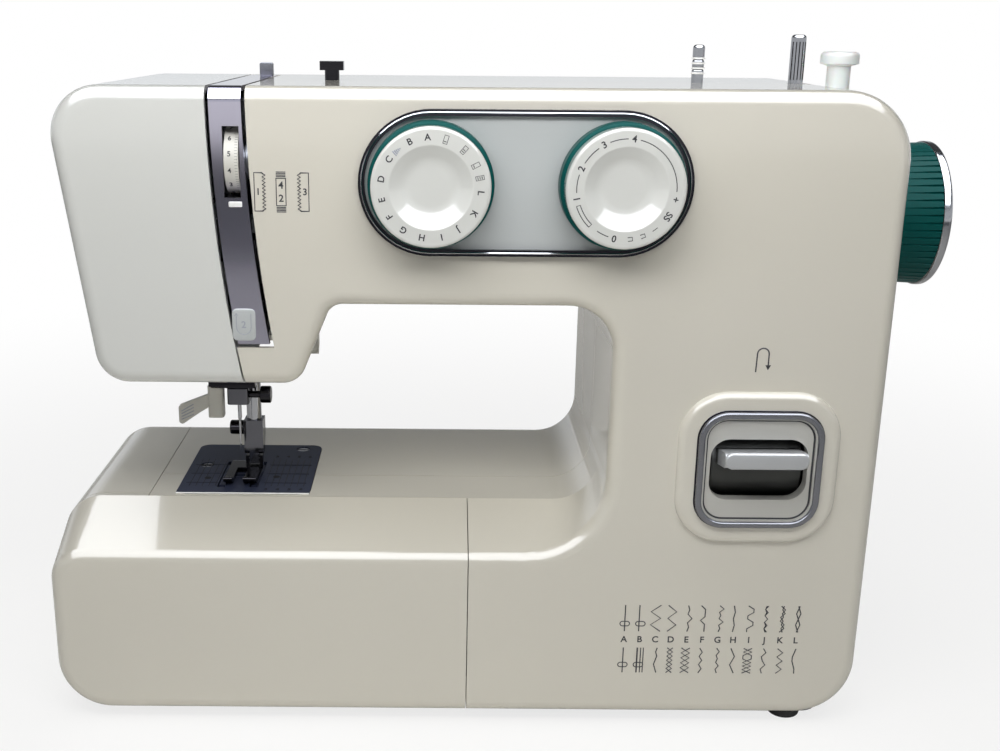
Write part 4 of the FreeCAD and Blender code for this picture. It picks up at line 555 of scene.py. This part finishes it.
# Painted shade: two black discs stand for the dark insides of two round holes in the plate
for x, y in ((-99, -4), (-131, -6)):
    bmesh.ops.create_circle(guides_and_hole_shade, cap_ends=True, segments=20, radius=1.6 * MM,
                            matrix=at((x, y, PLATE_TOP + 0.06)))
shaped("plate_guides_and_hole_shade", guides_and_hole_shade, "frame", ENGRAVING_AND_HOLE_SHADE)
corners = bmesh.new()
corner_size = Matrix.Diagonal((CORNER_SIZE * MM, CORNER_SIZE * MM, 0.3 * MM, 1))
for x in (PLATE_LOW.x + CORNER_SIZE / 2, PLATE_HIGH.x - CORNER_SIZE / 2):
    corner_place = at((x, PLATE_LOW.y + CORNER_SIZE / 2, PLATE_TOP - 0.1))
    bmesh.ops.create_cube(corners, size=1, matrix=corner_place @ corner_size)
shaped("plate_front_corners", corners, "frame", PLATE)
# Painted highlight: a white enamel line along the plate's front edge stands for the light that edge
# catches
edge = bmesh.new()
plate_highlight_ends = [(x, PLATE_LOW.y, PLATE_TOP - 0.1) for x in (PLATE_LOW.x + 0.1, PLATE_HIGH.x - 0.1)]
line(edge, plate_highlight_ends, wide=0.7)
shaped("plate_front_highlight", edge, "frame", ENAMEL)


# Spool pin bands and the spring clip on the winder spindle

PIN, BAND_RADIUS, BAND_STEPS = middle("spool_pin"), 2.66, 24
SPINDLE, CLIP_RADIUS = middle("winder_spindle"), 3.15


def beside(axis, radius, turn, z):
    """A point beside an upright axis, turned from the right to the back."""
    return axis.x + radius * math.cos(turn), axis.y + radius * math.sin(turn), z


bands = bmesh.new()
turns = [2 * math.pi * i / BAND_STEPS for i in range(BAND_STEPS)]
for z in (283.5, 285.6, 287.7, 289.8):
    line(bands, [beside(PIN, BAND_RADIUS, t, z) for t in turns], wide=0.7, closed=True)
shaped("spool_pin_bands", bands, "spool_pin", ENAMEL)
clip = bmesh.new()
for degrees in (-150, -120, -95, -70, -40, 90):
    turn = math.radians(degrees)
    line(clip, [beside(SPINDLE, CLIP_RADIUS, turn, z) for z in (281, 297)], wide=0.55)
shaped("winder_clip", clip, "winder_spindle", BLACK_NICKEL)

# Bright sleeve of the thread hook behind the strip
rounded("thread_hook", "frame", SATIN, on_front(-104, 282.5, 41.35),
        wide=6.4, high=6.4, corner=1.0, thick=1.5, soft=0.3)

# Mains contacts in the inlet
INLET_Z = middle("power_inlet").z
contacts = bmesh.new()
for y in (18, 30):
    line(contacts, [(152, y, INLET_Z), (162, y, INLET_Z)], wide=2.4)
shaped("inlet_contacts", contacts, "frame", BRONZE)

# Screws that close the covers from behind
heads = bmesh.new()
for x, z in ((-150, 262), (-60, 262), (70, 262), (140, 262), (140, 110), (140, 25), (20, 25)):
    bmesh.ops.create_cone(heads, cap_ends=True, segments=24, radius1=3.4 * MM, radius2=3.0 * MM,
                          depth=1.0 * MM, matrix=at((x, BACK + 0.1, z)) @ TO_FRONT)
shaped("cover_screws", heads, "frame", STEEL)

# Bracket over the needle clamp
rounded("clamp_bracket", "needle_bar", BLACK_NICKEL, at((-118.2, -2, 141.4)),
        wide=21.5, high=9, corner=1.2, thick=3.2, soft=0.4)


# Threader ribs: lines along the paddle, which rises and widens from its left end

PADDLE_LEFT, PADDLE_LOW, PADDLE_HIGH, PADDLE_FACE = -142.6, 124.4, 6.0, -4.5
PADDLE_RISE, PADDLE_SPREAD = 0.41, 0.22


def on_paddle(x, share):
    """A point on the paddle's face, at a share of its height there."""
    run = x - PADDLE_LEFT
    low = PADDLE_LOW + PADDLE_RISE * run
    return x, PADDLE_FACE, low + share * (PADDLE_HIGH + PADDLE_SPREAD * run)


ribs = bmesh.new()
for share in (0.16, 0.38, 0.6, 0.82):
    line(ribs, [on_paddle(-142.2, share), on_paddle(-136.4, share)], wide=0.45)
shaped("threader_ribs", ribs, "needle_threader", PALE_INK)


# Studio: white paper, a lit card above and a dark card in front for the gloss to reflect, soft lamps

PAPER_GLOW, GLOW_NEAR, GLOW_FAR = 0.78, 0.2, 0.9
GLOSS_NEAR, GLOSS_FAR = 2.0, 3.4
CARD_STRENGTH = 6.0
ROOM_LEVEL = 0.1
WALL_LEVEL, WALL_LOW, WALL_TOP = 0.9, 0.15, 0.42


def seen_straight(tree):
    """One for rays from the camera, also through glass, and none for the machine's light."""
    rays = add(tree, "ShaderNodeLightPath")
    seen = add(tree, "ShaderNodeMath", {
        0: rays.outputs["Is Camera Ray"], 1: rays.outputs["Is Transmission Ray"]},
        operation="MAXIMUM")
    return seen.outputs[0]


def studio_paper():
    """White paper that keeps the shadow near the machine and glows white further off.

    Reflections show the glow only far away, so the gloss keeps a darker floor nearby.
    """
    made = finish("pale studio paper", "E6E4DF", 0.9, grain=8.0, depth=0.0, mottle=0.004)
    tree = made.node_tree
    spot = add(tree, "ShaderNodeTexCoord")
    away = add(tree, "ShaderNodeVectorMath", {0: spot.outputs["Object"]}, operation="LENGTH")
    share = add(tree, "ShaderNodeMapRange", {
        "Value": away.outputs["Value"], "From Min": GLOW_NEAR, "From Max": GLOW_FAR,
        "To Min": PAPER_GLOW, "To Max": 1.0}, interpolation_type="SMOOTHSTEP")
    straight = add(tree, "ShaderNodeMath", {0: share.outputs["Result"], 1: seen_straight(tree)},
                   operation="MULTIPLY")
    rays = add(tree, "ShaderNodeLightPath")
    outer = add(tree, "ShaderNodeMapRange", {
        "Value": away.outputs["Value"], "From Min": GLOSS_NEAR, "From Max": GLOSS_FAR},
        interpolation_type="SMOOTHSTEP")
    gloss = add(tree, "ShaderNodeMath", {
        0: outer.outputs["Result"], 1: rays.outputs["Is Glossy Ray"]}, operation="MULTIPLY")
    lit = add(tree, "ShaderNodeMath", {0: straight.outputs[0], 1: gloss.outputs[0]},
              operation="MAXIMUM")
    glow = add(tree, "ShaderNodeEmission", {"Color": (1, 1, 1, 1), "Strength": 1.0})
    paper = add(tree, "ShaderNodeMixShader", {
        0: lit.outputs[0], 1: tree.nodes["Principled BSDF"].outputs[0], 2: glow.outputs[0]})
    tree.links.new(paper.outputs[0], tree.nodes["Material Output"].inputs["Surface"])
    return made


def reflector_cloth():
    """Lit white cloth: the bright streaks along the crest and the shoulder are its reflection."""
    made = bpy.data.materials.new("lit reflector cloth")
    made.use_nodes = True
    tree = made.node_tree
    bright = add(tree, "ShaderNodeEmission", {
        "Color": linear("F6F9FF"), "Strength": CARD_STRENGTH})
    tree.links.new(bright.outputs[0], tree.nodes["Material Output"].inputs["Surface"])
    return made


def room_light():
    """White for the camera, a dim room for the machine, and a pale wall low in its reflections."""
    world = bpy.data.worlds.new("studio")
    scene.world = world
    world.use_nodes = True
    tree = world.node_tree
    tree.nodes.clear()
    way = add(tree, "ShaderNodeTexCoord")
    side = add(tree, "ShaderNodeSeparateXYZ", {"Vector": way.outputs["Generated"]})
    low = add(tree, "ShaderNodeMapRange", {
        "Value": side.outputs["Z"], "From Min": WALL_LOW, "From Max": WALL_TOP,
        "To Min": WALL_LEVEL, "To Max": 0.0})
    rays = add(tree, "ShaderNodeLightPath")
    wall = add(tree, "ShaderNodeMath", {
        0: low.outputs["Result"], 1: rays.outputs["Is Glossy Ray"]}, operation="MULTIPLY")
    level = add(tree, "ShaderNodeMath", {0: ROOM_LEVEL, 1: wall.outputs[0]}, operation="MAXIMUM")
    soft = add(tree, "ShaderNodeBackground", {
        "Color": linear("EEF1F4"), "Strength": level.outputs[0]})
    white = add(tree, "ShaderNodeBackground", {"Color": (1, 1, 1, 1), "Strength": 1.0})
    both = add(tree, "ShaderNodeMixShader", {
        0: seen_straight(tree), 1: soft.outputs[0], 2: white.outputs[0]})
    add(tree, "ShaderNodeOutputWorld", {"Surface": both.outputs[0]})


def stage_plane(name, half_wide, front, back, material):
    """A flat sheet of the studio between a front and a back edge, each a depth and a height."""
    bm = bmesh.new()
    corners = ((-half_wide, *front), (half_wide, *front), (half_wide, *back), (-half_wide, *back))
    bm.faces.new([bm.verts.new(c) for c in corners])
    mesh = bpy.data.meshes.new(name)
    bm.to_mesh(mesh)
    bm.free()
    mesh.materials.append(material)
    made = bpy.data.objects.new(name, mesh)
    scene.collection.objects.link(made)
    return made


def lamp(name, place, aim, wide, deep, watts):
    """A soft lamp that lights the machine and isn't seen, also not in reflections."""
    data = bpy.data.lights.new(name, "AREA")
    data.shape = "ELLIPSE"
    data.size = wide
    data.size_y = deep
    data.energy = watts
    made = bpy.data.objects.new(name, data)
    made.location = place
    made.rotation_euler = (Vector(aim) - Vector(place)).to_track_quat("-Z", "Y").to_euler()
    made.visible_camera = made.visible_glossy = False
    scene.collection.objects.link(made)


stage_plane("floor", 8, (-8, 0), (8, 0), studio_paper())
cards = (
    stage_plane("top_reflector", 1.8, (-2.3, 1.1), (0.6, 1.9), reflector_cloth()),
    stage_plane("floor_card", 1.2, (-2.7, 0.002), (-1.15, 0.002), BLACK),
)
for card in cards:
    card.visible_camera = card.visible_diffuse = card.visible_shadow = False
room_light()
lamp("top_softbox", (-0.1, -0.25, 1.55), (0, 0, 0.15), wide=0.6, deep=0.6, watts=5)
lamp("front_softbox", (-0.15, -0.65, 1.0), (0, -0.06, 0.15), wide=0.5, deep=0.5, watts=0.5)
lamp("edge_softbox", (-0.04, -0.3, 0.46), (-0.02, -0.06, 0.15), wide=0.7, deep=0.14, watts=1.35)
lamp("rear_softbox", (0.2, 1.9, 0.5), (0, 0.07, 0.15), wide=0.8, deep=0.8, watts=11)

# Camera: a little left of the middle, looking down on the machine
CAMERA_PLACE = (-0.0254, -0.5385, 0.3007)
LOOKS_DOWN, LEANS = math.radians(15.99), math.radians(0.45)
camera = bpy.data.cameras.new("camera")
camera.lens = 43.4
camera.sensor_width = 36
camera.shift_x = 0.067
viewer = bpy.data.objects.new("camera", camera)
turn = Matrix.Rotation(math.radians(90) - LOOKS_DOWN, 4, "X") @ Matrix.Rotation(LEANS, 4, "Z")
viewer.matrix_world = Matrix.Translation(CAMERA_PLACE) @ turn
scene.collection.objects.link(viewer)
scene.camera = viewer
scene.view_settings.view_transform = "Standard"
